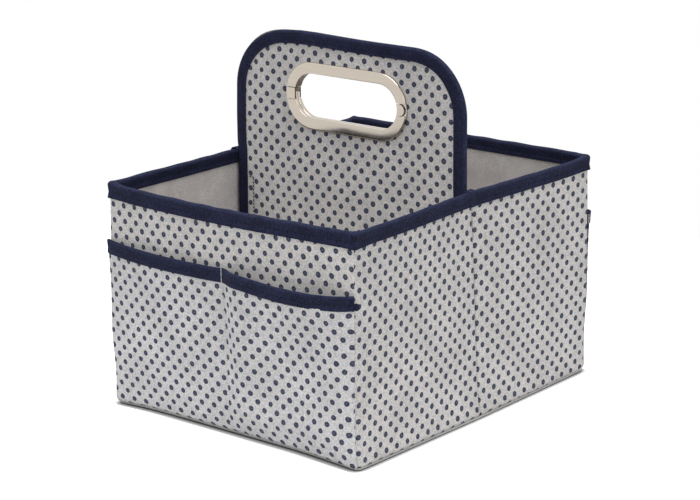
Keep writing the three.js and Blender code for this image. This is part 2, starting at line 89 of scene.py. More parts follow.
# %% Small helpers for material graphs
class Graph:
    """Adds nodes to a new material, or to a world."""

    def __init__(self, name, owner=None):
        self.owner = owner or bpy.data.materials.new(name)
        self.owner.use_nodes = True
        self.tree = self.owner.node_tree
        self.shader = self.tree.nodes.get("Principled BSDF") or self.tree.nodes["Background"]

    def put(self, socket, value):
        if isinstance(value, bpy.types.NodeSocket):
            self.tree.links.new(value, socket)
        else:
            socket.default_value = value

    def node(self, kind, out=0, inputs=None, **settings):
        made = self.tree.nodes.new("ShaderNode" + kind)
        for key, value in settings.items():
            setattr(made, key, value)
        for key, value in (inputs or {}).items():
            self.put(made.inputs[key], value)
        return made.outputs[out]

    def math(self, operation, a, b=0.0):
        return self.node("Math", 0, {0: a, 1: b}, operation=operation)

    def vector(self, operation, a, b=(0, 0, 0), out=0):
        return self.node("VectorMath", out, {0: a, 1: b}, operation=operation)

    def scaled(self, vector, scale):
        return self.vector("MULTIPLY", vector, (scale, scale, scale))

    def span(self, value, low, high, to_low=0.0, to_high=1.0, kind="SMOOTHSTEP"):
        ends = {0: value, 1: low, 2: high, 3: to_low, 4: to_high}
        return self.node("MapRange", 0, ends, interpolation_type=kind)

    def mix(self, share, a, b):
        rgba = [c if isinstance(c, bpy.types.NodeSocket) else (*c, 1) for c in (a, b)]
        return self.node("Mix", 2, {0: share, 6: rgba[0], 7: rgba[1]}, data_type="RGBA")

    def noise(self, vector, scale, detail=2.0, out=0):
        return self.node("TexNoise", out, {"Vector": vector, "Scale": scale, "Detail": detail})

    def map(self, name):
        return self.node("UVMap", uv_map=name)

    def place(self):
        return self.node("TexCoord", 3)

    def bump(self, height, strength, distance):
        ends = {"Height": height, "Strength": strength, "Distance": distance}
        self.put(self.shader.inputs["Normal"], self.node("Bump", 0, ends))

    def finish(self, color, roughness, **numbers):
        self.put(self.shader.inputs["Base Color"], color)
        self.put(self.shader.inputs["Roughness"], roughness)
        for key, value in numbers.items():
            self.shader.inputs[key.replace("_", " ")].default_value = value
        return self.owner


print("graph helpers ready")

# %% [markdown]
# ## Dotted cotton
# The real cloth is a warm white cotton with small navy dots on a square lattice that stands on
# its corner. Each printed dot is a little uneven and paler in its middle. The pieces carry a UV
# map named "dots" that counts lattice steps, so a dot sits wherever both numbers are whole. The
# fractional part gives the way to the nearest dot, which costs far less than a Voronoi texture
# and keeps the rows straight. A second map, "cloth", is in metres and carries the weave.

# %% Dotted cotton
DOT_STEP = 8.7  # mm from a dot to its nearest neighbour
DOT_RADIUS = 2.2
COTTON_PITCH, TAPE_PITCH = 0.72, 0.85  # mm from yarn to yarn
INK, PALE_INK = (0.0200, 0.0250, 0.0620), (0.090, 0.108, 0.180)


def weave(g, cloth, pitch):
    """Plain weave. Gives its height, a tint for each crossing, and whether the weft is on top."""
    yarns = g.scaled(cloth, 1000 / pitch)
    crossing = g.vector("FLOOR", yarns)
    grey = g.node("TexWhiteNoise", 0, {"Vector": crossing}, noise_dimensions="2D")
    tint = g.mix(0.16, grey, grey.node.outputs["Color"])
    which = g.node("SeparateXYZ", 0, {0: crossing})
    over = g.math("PINGPONG", g.math("ADD", which, which.node.outputs[1]), 1.0)
    across = g.node("SeparateXYZ", 0, {0: g.scaled(yarns, pi)})
    warp = g.math("ABSOLUTE", g.math("SINE", across))
    weft = g.math("ABSOLUTE", g.math("SINE", across.node.outputs[1]))
    height = g.math("ADD", g.math("MULTIPLY", warp, over),
                    g.math("MULTIPLY", weft, g.math("SUBTRACT", 1.0, over)))
    return height, tint, over


def tinted(g, share, color, tint):
    """Varies a colour from thread to thread."""
    return g.mix(share, color, g.vector("MULTIPLY", color, g.scaled(tint, 2.0)))


def dotted_cotton(name, shade, light):
    g = Graph(name)
    cloth, lattice = g.map("cloth"), g.map("dots")
    wobble = g.vector("SUBTRACT", g.noise(lattice, 2.6, 2.0, 1), (0.5, 0.5, 0.5))
    nudged = g.vector("ADD", lattice, g.scaled(wobble, 0.07))
    middle = g.vector("ADD", nudged, (0.5, 0.5, 0.0))
    which = g.vector("FLOOR", middle)
    way = g.vector("SUBTRACT", g.vector("FRACTION", middle), (0.5, 0.5, 0.0))
    flat = g.vector("MULTIPLY", way, (DOT_STEP, DOT_STEP, 0.0))
    distance = g.vector("LENGTH", flat, out=1)
    chance = g.node("TexWhiteNoise", 0, {"Vector": which}, noise_dimensions="2D")
    radius = g.span(chance, 0.0, 1.0, DOT_RADIUS * 0.94, DOT_RADIUS * 1.06, "LINEAR")
    dot = g.span(g.math("SUBTRACT", distance, radius), -0.16, 0.16, 1.0, 0.0)
    pale_core = g.span(distance, 0.25, 1.05, 1.0, 0.0)

    yarns, tint, over = weave(g, cloth, COTTON_PITCH)
    ground = g.mix(g.span(g.noise(cloth, 28.0, 3.0), 0.3, 0.7), shade, light)
    ground = tinted(g, 0.26, ground, tint)
    ground = g.mix(g.math("MULTIPLY", over, 0.07), ground, (0.36, 0.345, 0.33))
    ink = g.mix(0.07, g.mix(g.math("MULTIPLY", pale_core, 0.62), INK, PALE_INK), tint)
    g.bump(yarns, 0.35, 0.00022)
    return g.finish(g.mix(dot, ground, ink), 0.92, Specular_IOR_Level=0.2)


# %% [markdown]
# ## Plain cloths, board and metal
# The binding is a navy twill tape, folded double. Its raised folds are painted a little paler, as a
# painted highlight.
# The lining and the underside are pressed felt: no threads, but a soft cloudy mottle. The board
# is grey chipboard, and the grip is satin nickel with fine streaks along its long side, which
# a noise stretched along X draws in both roughness and bump.

# %% Plain cloths, board and metal
def navy_tape():
    g = Graph("navy_tape")
    cloth = g.map("cloth")
    fleck = g.noise(cloth, 1300.0)
    yarns, tint, _ = weave(g, cloth, TAPE_PITCH)
    twill = {"Vector": cloth, "Scale": 420.0, "Distortion": 0.4, "Detail": 1.0}
    ribs = g.node("TexWave", 1, twill, bands_direction="DIAGONAL")
    cloudy = g.span(g.noise(cloth, 60.0, 3.0), 0.3, 0.7)
    color = g.mix(cloudy, (0.0105, 0.0122, 0.0325), (0.0155, 0.0182, 0.0465))
    highlight_from_fold = g.math("ABSOLUTE", g.node("SeparateXYZ", 1, {0: cloth}))
    # Painted highlight: the tape is paler within about 4 mm of its fold.
    color = g.mix(g.span(highlight_from_fold, 0.0006, 0.0042, 0.55, 0.0), color, (0.026, 0.033, 0.078))
    color = g.mix(g.span(fleck, 0.45, 0.8, 0.0, 0.25), color, (0.036, 0.042, 0.085))
    color = tinted(g, 0.55, color, tint)
    threads = g.math("ADD", yarns, g.math("MULTIPLY", fleck, 0.7))
    g.bump(g.math("ADD", ribs, threads), 0.4, 0.00025)
    return g.finish(color, g.span(fleck, 0.3, 0.7, 0.72, 0.9), Specular_IOR_Level=0.14)


def felt(name, dark, light):
    g = Graph(name)
    place = g.place()
    cloudy, fibres = g.noise(place, 55.0, 4.0), g.noise(place, 700.0, 3.0)
    speckle = g.span(g.noise(place, 1100.0, 1.0), 0.35, 0.7, 0.0, 0.6)
    color = g.mix(g.span(cloudy, 0.32, 0.68), dark, light)
    color = g.mix(g.span(fibres, 0.4, 0.8, 0.0, 0.25), color, dark)
    color = g.mix(speckle, color, tuple(0.66 * c for c in dark))
    g.bump(g.math("ADD", g.math("MULTIPLY", cloudy, 1.2), fibres), 0.3, 0.0004)
    return g.finish(color, g.span(fibres, 0.3, 0.7, 0.88, 0.98), Specular_IOR_Level=0.2)


def satin_nickel():
    g = Graph("satin_nickel")
    streak = g.noise(g.vector("MULTIPLY", g.place(), (45.0, 1400.0, 1400.0)), 1.0)
    handled = g.noise(g.place(), 60.0)
    color = g.mix(g.span(streak, 0.3, 0.7), (0.575, 0.516, 0.440), (0.603, 0.544, 0.466))
    rough = g.math("ADD", g.span(streak, 0.3, 0.7, 0.07, 0.10), g.math("MULTIPLY", handled, 0.04))
    g.bump(streak, 0.03, 0.00002)
    return g.finish(color, rough, Metallic=1.0)


def grained(name, grain, detail, dark, light, bump, rough, **numbers):
    """One fine noise gives the tone, bump and roughness of the board and the threads."""
    g = Graph(name)
    fine = g.noise(g.place(), grain, detail)
    g.bump(fine, *bump)
    color = g.mix(g.span(fine, 0.3, 0.7), dark, light)
    return g.finish(color, g.span(fine, 0.3, 0.7, *rough), **numbers)


def thread(name, dark, light):
    return grained(name, 2400.0, 2.0, dark, light, (0.3, 0.0001), (0.7, 0.9),
                   Specular_IOR_Level=0.1)


DOTTED = dotted_cotton("dotted_cotton", (0.560, 0.544, 0.534), (0.635, 0.618, 0.606))
POCKET_DOTTED = dotted_cotton("pocket_cotton", (0.552, 0.545, 0.551), (0.623, 0.615, 0.623))
NAVY = navy_tape()
LINING = felt("grey_felt", (0.570, 0.540, 0.525), (0.700, 0.668, 0.652))
UNDERSIDE = felt("underside_felt", (0.60, 0.59, 0.58), (0.70, 0.69, 0.68))
BOARD = grained("grey_chipboard", 420.0, 4.0, (0.27, 0.24, 0.20), (0.38, 0.34, 0.29),
                (0.25, 0.0002), (0.8, 0.95))
NICKEL = satin_nickel()
WHITE_THREAD = thread("white_thread", (0.62, 0.61, 0.60), (0.80, 0.79, 0.77))
# Painted shade, in part: the navy thread is much darker than the tape, for the shade in the holes
# where its stitches sink.
SHADED_NAVY_THREAD = thread("navy_thread", (0.0035, 0.0042, 0.011), (0.007, 0.009, 0.021))

CLOTH, TAPE, BOARD_THICK = 0.5, 0.7, 1.4
COTTON = (DOTTED, "dotted_cloth", CLOTH)  # a stuff is a finish, its slot and its thickness
POCKET_COTTON = (POCKET_DOTTED, "dotted_cloth", CLOTH)
BINDING = (NAVY, "navy_binding", TAPE)
FELT = (LINING, "lining_cloth", CLOTH)
NAVY_SEWING, WHITE_SEWING = (SHADED_NAVY_THREAD, "navy_thread", 0), (WHITE_THREAD, "white_thread", 0)
print("finishes", sorted(m.name for m in bpy.data.materials))

# %% [markdown]
# ## How the walls stand
# All the layers of a wall keep the same gaps to each other, so one function places them all.
# It takes a distance along the outline, a depth in from the outside of the rim and a height.
# The outline is a rectangle with round corners, which grow rounder near the floor, and the
# whole then leans and sags: the divider draws the right side in at its centre seam and pushes
# the left side out, the front bows out, the rim's height wanders and the foot flares a little.

# %% The outline and the lean of the walls
RIM_HEIGHT, WALL_TOP = 180.0, 178.0
HALF_X, HALF_Y = 121.5, 146.5  # outer face of the dotted cloth
COVER_DEPTH = 1.0  # of that face, in from the outside of the rim binding
RIGHT_DIP, LEFT_BULGE, FRONT_BULGE = 6.1, 3.0, 4.5
RIM_LINE = {  # how the rim's height wanders along the outline of each end
    1: ((-262, 0.1), (-200, 0.4), (-150, 1.1), (-122, 0.2), (-110, -0.6), (-90, -1.2),
        (-50, -1.4), (-20, -1.5), (30, -1.1), (65, -0.6), (108, -0.5), (122, -0.7),
        (135, -0.9), (200, -0.8), (262, -0.6)),
    -1: ((-262, -0.6), (-160, -0.6), (-135, 0.2), (-122, 0.9), (-110, 2.3), (110, 2.3),
         (122, 1.6), (135, 1.2), (160, 0.0), (262, 0.0)),
}
SIDE_FLARE, FRONT_FLARE, BACK_FLARE = 1.7, 2.4, 0.8
FRONT_TUCK = 4.2  # how far the front's foot is drawn back in
KNEE = 140.5  # a side runs straight from here to its centre seam
RACK = 0.6  # how far two opposite corners stand out, and the other two in
FOOT, FOOT_MIDDLE = 2.0, 2.2  # bulge of a long side's foot, and what its middle adds
TOP_CORNER, FLOOR_CORNER = 1.6, 7.2
TIGHTEST = 0.9  # corner radius that a layer deep in the wall still keeps
FACE = {1: "front", -1: "back"}


def ease(share):
    share = np.clip(share, 0, 1)
    return share * share * (3 - 2 * share)


def bell(distance, width):
    return np.exp(-((distance / width) ** 2))


def corner_radius(z):
    return TOP_CORNER + (FLOOR_CORNER - TOP_CORNER) * ease((68 - np.asarray(z)) / 45)


def corner_reach(z):
    """Distance along the outline from the middle of an end to the seam in its corner."""
    radius = corner_radius(z)
    return HALF_X - radius + radius * pi / 4


def side_reach(z):
    """Distance from the middle of an end to the centre seam of a long side."""
    radius = corner_radius(z)
    return HALF_X - radius + radius * pi / 2 + HALF_Y - radius


def outline(along, inward, z):
    """Point of the near end's outline, before the walls lean. A layer whose depth passes the
    corner's radius keeps a tight corner, and its straight stretches shorten to make room."""
    radius = corner_radius(z)
    tight = np.maximum(radius - inward, TIGHTEST)
    shift = inward + tight - radius
    side, far = np.sign(along), np.abs(along)
    straight = HALF_X - radius
    angle = np.clip((far - straight) / radius, 0, pi / 2)
    past = np.maximum(far - straight - radius * pi / 2, 0)
    x = side * (np.minimum(far, straight) * (1 - shift / straight) + tight * np.sin(angle))
    y = -HALF_Y + inward + tight * (1 - np.cos(angle)) + past * (1 - shift / (HALF_Y - radius))
    return x, y


def lean(x, y, z):
    """Moves a point of the standing bin as the real one leans."""
    rise = np.clip(z / RIM_HEIGHT, 0, 1)
    tent = np.maximum(0, 1 - np.abs(y) / KNEE)
    across, lengthways = np.clip(np.abs(x) / 110, 0, 1), np.clip(np.abs(y) / 130, 0, 1)
    right = SIDE_FLARE * (1 - rise) - RIGHT_DIP * (tent - 0.17 * bell(y + 80, 35)) * rise
    left = -SIDE_FLARE * (1 - rise) - LEFT_BULGE * tent
    bowed = FRONT_BULGE * np.maximum(0, 1 - (x / 120) ** 2) * rise
    tucked = FRONT_TUCK * np.exp(-z / 12) * np.maximum(0, 1 - (x / 125) ** 4)
    flare = np.where(y < 0, tucked - FRONT_FLARE * (1 - rise) - bowed, BACK_FLARE + 0.9 * rise)
    foot = (FOOT + FOOT_MIDDLE * tent) * np.sign(x) * np.exp(-z / 9)
    moved_x = x + across * (np.where(x > 0, right, left) + foot) + RACK * y / HALF_Y
    return moved_x, y + lengthways * flare + RACK * x / HALF_X, z


def slack(along, z, end):
    """Slow waves in the cloth, always outward, that die out at the rim."""
    u, v = along + 300 * end, z
    wave = np.sin(u / 19 + v / 37) + np.sin(u / 11 - v / 15 + 2) + 0.6 * np.sin(u / 6.5 + v / 9)
    return 0.13 * (wave + 2.6) * ease((162 - z) / 25) * ease((z - 4) / 20)


def wall(end, along, depth, z):
    """A point of a wall. End 1 is the near end, and -1 the far end, which is turned round."""
    along, depth, z = np.broadcast_arrays(along * 1.0, depth * 1.0, z * 1.0)
    x, y = outline(along, depth - COVER_DEPTH - slack(along, z, end), z)
    marks, offsets = np.array(RIM_LINE[end]).T
    z = z + np.interp(along, marks, offsets) * ease((z - 120) / 48)
    return np.stack(lean(end * x, end * y, z), -1)


print("near corner at the floor", wall(1, corner_reach(0.0), 1.0, 0.0).round(1))

# %% [markdown]
# ## A sheet of cloth from a grid
# A sewn panel is a flat sheet before it is shaped, so each one starts as a flat grid, and a
# function moves its vertices into place. Its UV maps keep the flat cloth's own measure, which
# makes the print follow every fold. A live Solidify modifier gives it its thickness inward.
# Each panel was cut from the roll at its own place and slant, so each has its own dot lattice:
# one dot, and the steps to the next dot up to the right and up to the left.

# %% Make a sheet from a grid
def dot_steps(cloth, cut):
    first_dot, right_step, left_step = cut
    steps = np.linalg.inv(np.array([right_step, left_step]).T)
    return (cloth - np.array(first_dot)) @ steps.T


def add_map(mesh, name, values):
    layer = mesh.loops.layers.uv.new(name)
    for face in mesh.faces:
        for loop in face.loops:
            loop[layer].uv = values[loop.vert.index]


def from_bmesh(name, mesh):
    data = bpy.data.meshes.new(name)
    mesh.to_mesh(data)
    mesh.free()
    return add_object(name, data)


def to_object(name, mesh, stuff, body="caddy", stands_for=None):
    finish, slot, thickness = stuff
    for face in mesh.faces:
        face.smooth = True
    rim = [edge.is_boundary for edge in mesh.edges]
    piece = from_bmesh(name, mesh)
    piece.data.materials.append(finish)
    if thickness:
        for edge in piece.data.edges:
            edge.use_edge_sharp = rim[edge.index]
        solidify = piece.modifiers.new("thickness", "SOLIDIFY")
        solidify.thickness, solidify.offset, solidify.use_even_offset = thickness * MM, -1, True
    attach(piece, body)
    if stands_for:
        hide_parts(stands_for)
    return piece


def grid_piece(name, columns, rows, place, flat, stuff, stands_for, cut=None, drop=None):
    """place and flat take the shares across and up, and give mm in space and in the flat."""
    mesh = bmesh.new()
    bmesh.ops.create_grid(mesh, x_segments=columns, y_segments=rows, size=0.5)
    shares = np.array([v.co[:2] for v in mesh.verts]) + 0.5
    points = place(shares[:, 0], shares[:, 1])
    cloth = np.stack(np.broadcast_arrays(*flat(shares[:, 0], shares[:, 1])), -1)
    for vertex, point in zip(mesh.verts, points):
        vertex.co = point * MM
    mesh.verts.index_update()
    add_map(mesh, "cloth", cloth * MM)
    if cut:
        add_map(mesh, "dots", dot_steps(cloth, cut))
    if drop:
        drop(mesh)
    return to_object(name, mesh, stuff, stands_for=stands_for)


def spread(ends_and_counts):
    """Shares of a grid's columns, so that some stretches get finer columns than others."""
    values = [ends_and_counts[0]]
    for count, end in zip(ends_and_counts[1::2], ends_and_counts[2::2]):
        start = values[-1]
        values += [start + (end - start) * (i + 1) / count for i in range(count)]
    values = np.array(values)
    return len(values) - 1, lambda s: np.interp(s, np.linspace(0, 1, len(values)), values)


print("sheet maker ready")

# %% [markdown]
# ## Dotted outer panels
# Each end has one panel from corner seam to corner seam, and each long side has two, which meet
# in a centre seam. Panels are joined by turning their edges in, so the cloth rolls inward for
# the last few millimetres at a seam. The near half of the right side rolls in most, and the far
# half starts flat beside it. The bottom edge rolls under in the same way.

# %% Outer panels
FRONT_CUT = ((-1.75, 154.80), (5.270, 6.720), (-6.663, 5.674))
NEAR_SIDE_CUT = ((-69.46, 87.50), (6.128, 6.155), (-5.970, 6.121))
FAR_SIDE_CUT = ((72.41, 80.35), (6.596, 5.985), (-6.393, 6.280))
ROLL_START, SIDE_ROLL_START, ROLL_TURN = 9.0, 5.5, radians(61)
PANELS = {  # an end and a side of it, with the panel's place on the bin and its cut
    (1, "end"): ("front", FRONT_CUT), (1, 1): ("right_front", NEAR_SIDE_CUT),
    (1, -1): ("left_front", NEAR_SIDE_CUT), (-1, "end"): ("back", FRONT_CUT),
    (-1, 1): ("left_back", FRONT_CUT), (-1, -1): ("right_back", FAR_SIDE_CUT),
}


def roll_start(along):
    """Height at which the cloth starts to roll under: high at the ends and low at the sides."""
    from_middle = np.abs(along)
    share = np.where(along > 0, (from_middle - 50) / 70, (from_middle - 80) / 55)
    return ROLL_START + (SIDE_ROLL_START - ROLL_START) * ease(share)


def rolled_down(t, along, top=WALL_TOP):
    """Height, depth of the roll and flat length for a share of the way up a wall."""
    start = roll_start(along)
    radius = start * 5 / 7
    arc = radius * ROLL_TURN
    length = t * (top - start + arc)
    turned = np.clip((arc - length) / radius, 0, ROLL_TURN)
    z = np.where(length < arc, start - radius * np.sin(turned), start + length - arc)
    return z, radius * (1 - np.cos(turned)), start - arc + length


def seam_roll(gap, reach, depth):
    """How far cloth sinks at a gap from its seam."""
    return depth * np.clip(1 - gap / reach, 0, 1) ** 2


def outer_panel(end, side):
    if side == "end":
        columns, share = spread((-1, 10, -0.93, 78, 0.93, 10, 1))
    else:
        columns, share = spread((0, 10, 0.07, 44, 0.965, 8, 0.994, 6, 1))
    centre_roll = (3.0, 1.0) if (end, side) == (1, 1) else (0.7, 1.6)

    def along_of(s, z=WALL_TOP):
        near, far = corner_reach(z), side_reach(z)
        if side == "end":
            return share(s) * near
        return side * (near + (far - near) * share(s if side > 0 else 1 - s))

    def place(s, t):
        z, sunk, _ = rolled_down(t, along_of(s))
        along = along_of(s, z)
        sunk = sunk + seam_roll(np.abs(np.abs(along) - corner_reach(z)), 1.2, 0.12)
        sunk = sunk + seam_roll(side_reach(z) - np.abs(along), *centre_roll)
        return wall(end, along, COVER_DEPTH + sunk, z)

    def flat(s, t):
        z, _, length = rolled_down(t, along_of(s))
        along = along_of(s, z)
        return along if side == "end" else along - np.sign(along) * side_reach(z), length

    where, cut = PANELS[end, side]
    node = where + "_outer_cover"
    piece = grid_piece(node + "_cloth", columns, 64, place, flat, COTTON, node, cut)


for end, side in PANELS:
    outer_panel(end, side)
print("outer panels", len(PANELS))

# %% [markdown]
# ## Boards and lining
# A grey board stiffens each outer panel, and felt lines the inside. They follow the outer cloth
# at their own depths. The boards stop short of every seam, so that the seams can crease.
# This model has a flaw here. At the two short ends the outer cloth's rolled foot reaches up to
# 1 mm further in than the lining, so from above a thin dotted strip shows beside the floor.

# %% Boards and lining
BOARD_DEPTH, LINING_DEPTH = 1.8, 3.5
BOARD_BOTTOM, LINING_BOTTOM = 9.2, 4.6
SEAM_GAP = 0.15  # between a sheet and the seam that it ends at
BOARD_GAP, LINING_CORNER_GAP = 2.0, 0.6


def inner_panel(end, side, kind):
    is_board = kind == "board"
    depth, bottom = (BOARD_DEPTH, BOARD_BOTTOM) if is_board else (LINING_DEPTH, LINING_BOTTOM)

    def place(s, t):
        z = bottom + (WALL_TOP - bottom) * t
        radius = corner_radius(z)
        if side == "end":
            reach = HALF_X - radius if is_board else corner_reach(z) - LINING_CORNER_GAP
            return wall(end, (2 * s - 1) * reach, depth, z)
        turned = HALF_X - radius + radius * pi / 2
        near = turned if is_board else corner_reach(z) + LINING_CORNER_GAP
        far = side_reach(z) - (BOARD_GAP if is_board else SEAM_GAP)
        share = s if side > 0 else 1 - s
        return wall(end, side * (near + (far - near) * share), depth, z)

    node = PANELS[end, side][0] + "_" + kind
    stuff = (BOARD, "stiffener_board", BOARD_THICK) if is_board else FELT
    piece = grid_piece(node + "_panel", 40 if side == "end" else 28, 30, place,
                       lambda s, t: (245 * s, 176 * t), stuff, node)


for end, side in PANELS:
    for kind in ("board", "lining"):
        inner_panel(end, side, kind)
print("boards and lining done")

# %% [markdown]
# ## Rim binding
# A tape is folded over the raw edges of the wall and sewn through, in two halves that lap at the
# centre seams. Its fold is round and stands a little proud, the stitch line pulls the tape in
# below it, and the free edge lifts again. The section is drawn as one line over the edge, and
# the grid's long side runs along the wall.

# %% Rim binding
RIM_DEPTH = 12.0  # height of the tape on the outside
RIM_INSIDE = 5.0
RIM_LAP, LAP_EDGE = 3.0, 4.5  # how far a half passes the seam, and where the lap starts
STITCH_UP = 4.4  # stitch line above the tape's edge
STITCH_PITCH, STITCH_SUNK = 4.0, 0.42
RIM_TAPE_MIDDLE = 13.43  # from a tape's edge to its fold, where the cloth map counts from


def tape_section(t, height, outer, inner, fold_swell=0.45, pull=0.4, stitch_up=STITCH_UP):
    """Depth and rise of a tape folded over an edge, for shares across it: out, over and in.
    Rise counts up from the free edge. Outer and inner are the depths of its two faces."""
    half = (inner - outer) / 2
    straight = height - half
    total = 2 * straight + pi * half
    length = t * total
    angle = np.clip((length - straight) / half, 0, pi)
    rise = np.where(length < straight, length, np.where(length > total - straight, total - length,
                                                        straight + half * np.sin(angle)))
    depth = outer + half * (1 - np.cos(angle))
    face = np.where(angle < pi / 2, -1.0, 1.0)
    swell = fold_swell * bell(rise - height + 2.2, 2.6) * np.abs(np.cos(angle))
    return depth + face * (swell - pull * bell(rise - stitch_up, 0.9)), rise, length


def pucker(along):
    return np.sin(along / 1.05) * 0.5 + np.sin(along / 2.3 + 1.3) * 0.35 + np.sin(along / 5.1) * 0.4


def rim_half(end):
    columns, share = spread((-1, 16, -0.965, 170, -0.5, 44, -0.42, 270, 0.42, 44, 0.5, 170,
                             0.965, 16, 1))
    reach, corner_at = side_reach(RIM_HEIGHT), corner_reach(RIM_HEIGHT)

    def along_of(s):
        k = share(s)
        low, high = reach - RIM_LAP + SEAM_GAP, reach + RIM_LAP - SEAM_GAP
        return np.where(k < 0, k * low, k * high)

    def place(s, t):
        along = along_of(s)
        far = np.abs(along)
        depth, rise, _ = tape_section(t, RIM_DEPTH, 0.0, RIM_INSIDE)
        lap = ease((far - reach + LAP_EDGE) / 0.9) * 0.95 * (along > 0)
        notch = bell(far - reach + LAP_EDGE + 0.8, 0.9) * (along > 0)
        corner = bell(far - corner_at, 4.5)
        ripple = np.sin(along / 6.1 + 2 * np.sin(along / 29))
        lift = 0.10 * pucker(along + 40 * end) * np.exp(-rise / 3.5) + lap
        lift = lift - 0.16 * np.cos(tau * along / STITCH_PITCH) * bell(rise - STITCH_UP, 1.4)
        lift = lift + 0.14 * ripple * ease((rise - 5) / 4)
        lift = lift + corner * (0.9 * np.exp(-rise / 3.0) + 0.35) - 0.35 * notch
        narrow = 0.07 if end < 0 else 0.07 * ease((far - 125) / 15)
        z = RIM_HEIGHT - RIM_DEPTH + rise - narrow * (rise - RIM_DEPTH / 2)
        z = z + (1.35 * lap - 0.6 * notch) * bell(t - 0.5, 0.2)
        wander = np.sin(along / 5.3 + 1.5 * np.sin(along / 37))
        z = z + 0.18 * wander * ease(rise / RIM_DEPTH) - 0.15
        z = z + 0.7 * corner * ease((rise - 6) / 5)
        inside = np.minimum(far, reach) * np.sign(along)
        points = wall(end, inside, depth - np.where(t < 0.5, 1.0, -1.0) * lift, z)
        points[:, 1] += end * np.maximum(far - reach, 0)
        return points

    def flat(s, t):
        return along_of(s), tape_section(t, RIM_DEPTH, 0.0, RIM_INSIDE)[2] - RIM_TAPE_MIDDLE

    node = FACE[end] + "_rim_binding"
    piece = grid_piece(node + "_tape", columns, 28, place, flat, BINDING, node)


for end in FACE:
    rim_half(end)
print("rim binding", round(2 * float(side_reach(RIM_HEIGHT))), "mm a half")

# %% [markdown]
# ## Pockets
# One panel of the dotted cloth crosses each end, sewn into both corners, along the floor and at
# one upright seam near the middle. It has more cloth than the wall behind it, so it stands off
# as a slack pocket on the right of the seam and a flat one on the left, and its bound mouth
# sags between the seams. The stand-off is a function of the place along the wall and the
# height, and the wall's own function does the rest. Two small tables of millimetres give what
# no formula does: the slack pocket's folds, and a sideways shift of its print. Both were fitted
# to the places of the dots in the photograph, and are only known from that one angle.

# %% How far a pocket stands off
POCKET_SEAM = 0.8
POCKET_END_HEIGHT, FLAT_END_HEIGHT, POCKET_SEAM_HEIGHT = 134.0, 135.1, 134.2
POCKET_DEPTH = 11.2
SLACK_BULGE, FLAT_BULGE = 8.5, 3.9
STEEP = 20.0  # the slack pocket leaves its seam in this length
FLAT_SAG = 0.7
SLACK_SAG = ((0, 0.0), (0.1, -0.2), (0.2, 0.1), (0.35, 1.4), (0.5, 2.4), (0.75, 2.7),
             (0.9, 1.6), (1, 0.4))
LAYER_GAP = 0.3
FOLD_X = (0, 12, 24, 36, 48, 60, 72, 84, 96, 108, 120)
FOLDS = {  # what the slack pocket stands off past its even bulge, by share of its height
    0.0: (0,) * 11,
    0.1: (0.7, 1.0, 1.0, 0.5, 0.5, 0.2, 0.3, 1.3, 1.2, 0.7, 0),
    0.25: (0.4, 0.2, -0.7, -2.3, -2.6, -2.6, -2.4, -1.5, -0.3, 0, 0),
    0.42: (0.3, 0.1, -0.5, -2.3, -2.8, -2.7, -2.5, -2.1, -0.5, 0.7, 0),
    0.58: (0.3, 0.2, 0, -1.7, -2.8, -2.7, -2.6, -2.2, -1.4, 0.9, 0),
    0.74: (0.5, 0.5, 0.5, -0.8, -2.1, -1.8, -1.0, 0.2, 0.2, 1.1, 0),
    0.88: (0.4, 0.4, 0.4, -0.2, -0.6, -0.2, 0.6, 1.4, 1.6, 1.2, 0),
    1.0: (0,) * 11,
}


def between_rows(x, level, columns, rows):
    """Value at x and level in a table of rows, straight between its marks."""
    x, level = np.broadcast_arrays(x * 1.0, level * 1.0)
    values = np.stack([np.interp(x, columns, row) for row in rows.values()])
    place = np.interp(level, list(rows), range(len(rows)))
    low = np.minimum(place.astype(int), len(rows) - 2)
    at_low, at_high = (np.take_along_axis(values, (low + i)[None], 0)[0] for i in (0, 1))
    return at_low + (at_high - at_low) * (place - low)


def pocket_share(along):
    end_x = HALF_X - TOP_CORNER
    x = np.clip(along, -end_x, end_x)
    is_slack = x > POCKET_SEAM
    share = np.where(is_slack, (x - POCKET_SEAM) / (end_x - POCKET_SEAM),
                     (x + end_x) / (end_x + POCKET_SEAM))
    return is_slack, share


def mouth_height(along):
    is_slack, share = pocket_share(along)
    to_end = np.where(is_slack, share, 1 - share)
    end_height = np.where(is_slack, POCKET_END_HEIGHT, FLAT_END_HEIGHT)
    level_height = POCKET_SEAM_HEIGHT + (end_height - POCKET_SEAM_HEIGHT) * to_end
    slack_sag = np.interp(share, *np.array(SLACK_SAG).T)
    return level_height - np.where(is_slack, slack_sag, FLAT_SAG * np.sin(pi * share))


def stand_off(along, height):
    """Gap between a pocket and the wall, for a share of the pocket's height."""
    is_slack, share = pocket_share(along)
    arch = np.maximum(0, np.sin(pi * share))
    leaving = np.clip(share * (HALF_X - POCKET_SEAM) / STEEP, 0, 1)
    ramp = np.where(leaving < 0.5, leaving * 4 / 3, 1 - (1 - leaving) ** 2 * 4 / 3)
    loose = np.where(share < 0.5, ramp * (0.82 + 0.18 * arch), arch**0.47)
    swell = np.where(is_slack, loose, arch**0.6)
    rise = 1 - (1 - height) ** 3
    room = ease((height - 0.7) / 0.2)
    even = np.where(is_slack, SLACK_BULGE, FLAT_BULGE) * swell * rise
    folds = between_rows(along, height, FOLD_X, FOLDS) * is_slack
    return LAYER_GAP + room * (TAPE + LAYER_GAP) + np.maximum(even + folds, 0)


print("slack pocket stands off", stand_off(np.array([60.0]), 0.8).round(1), "mm")

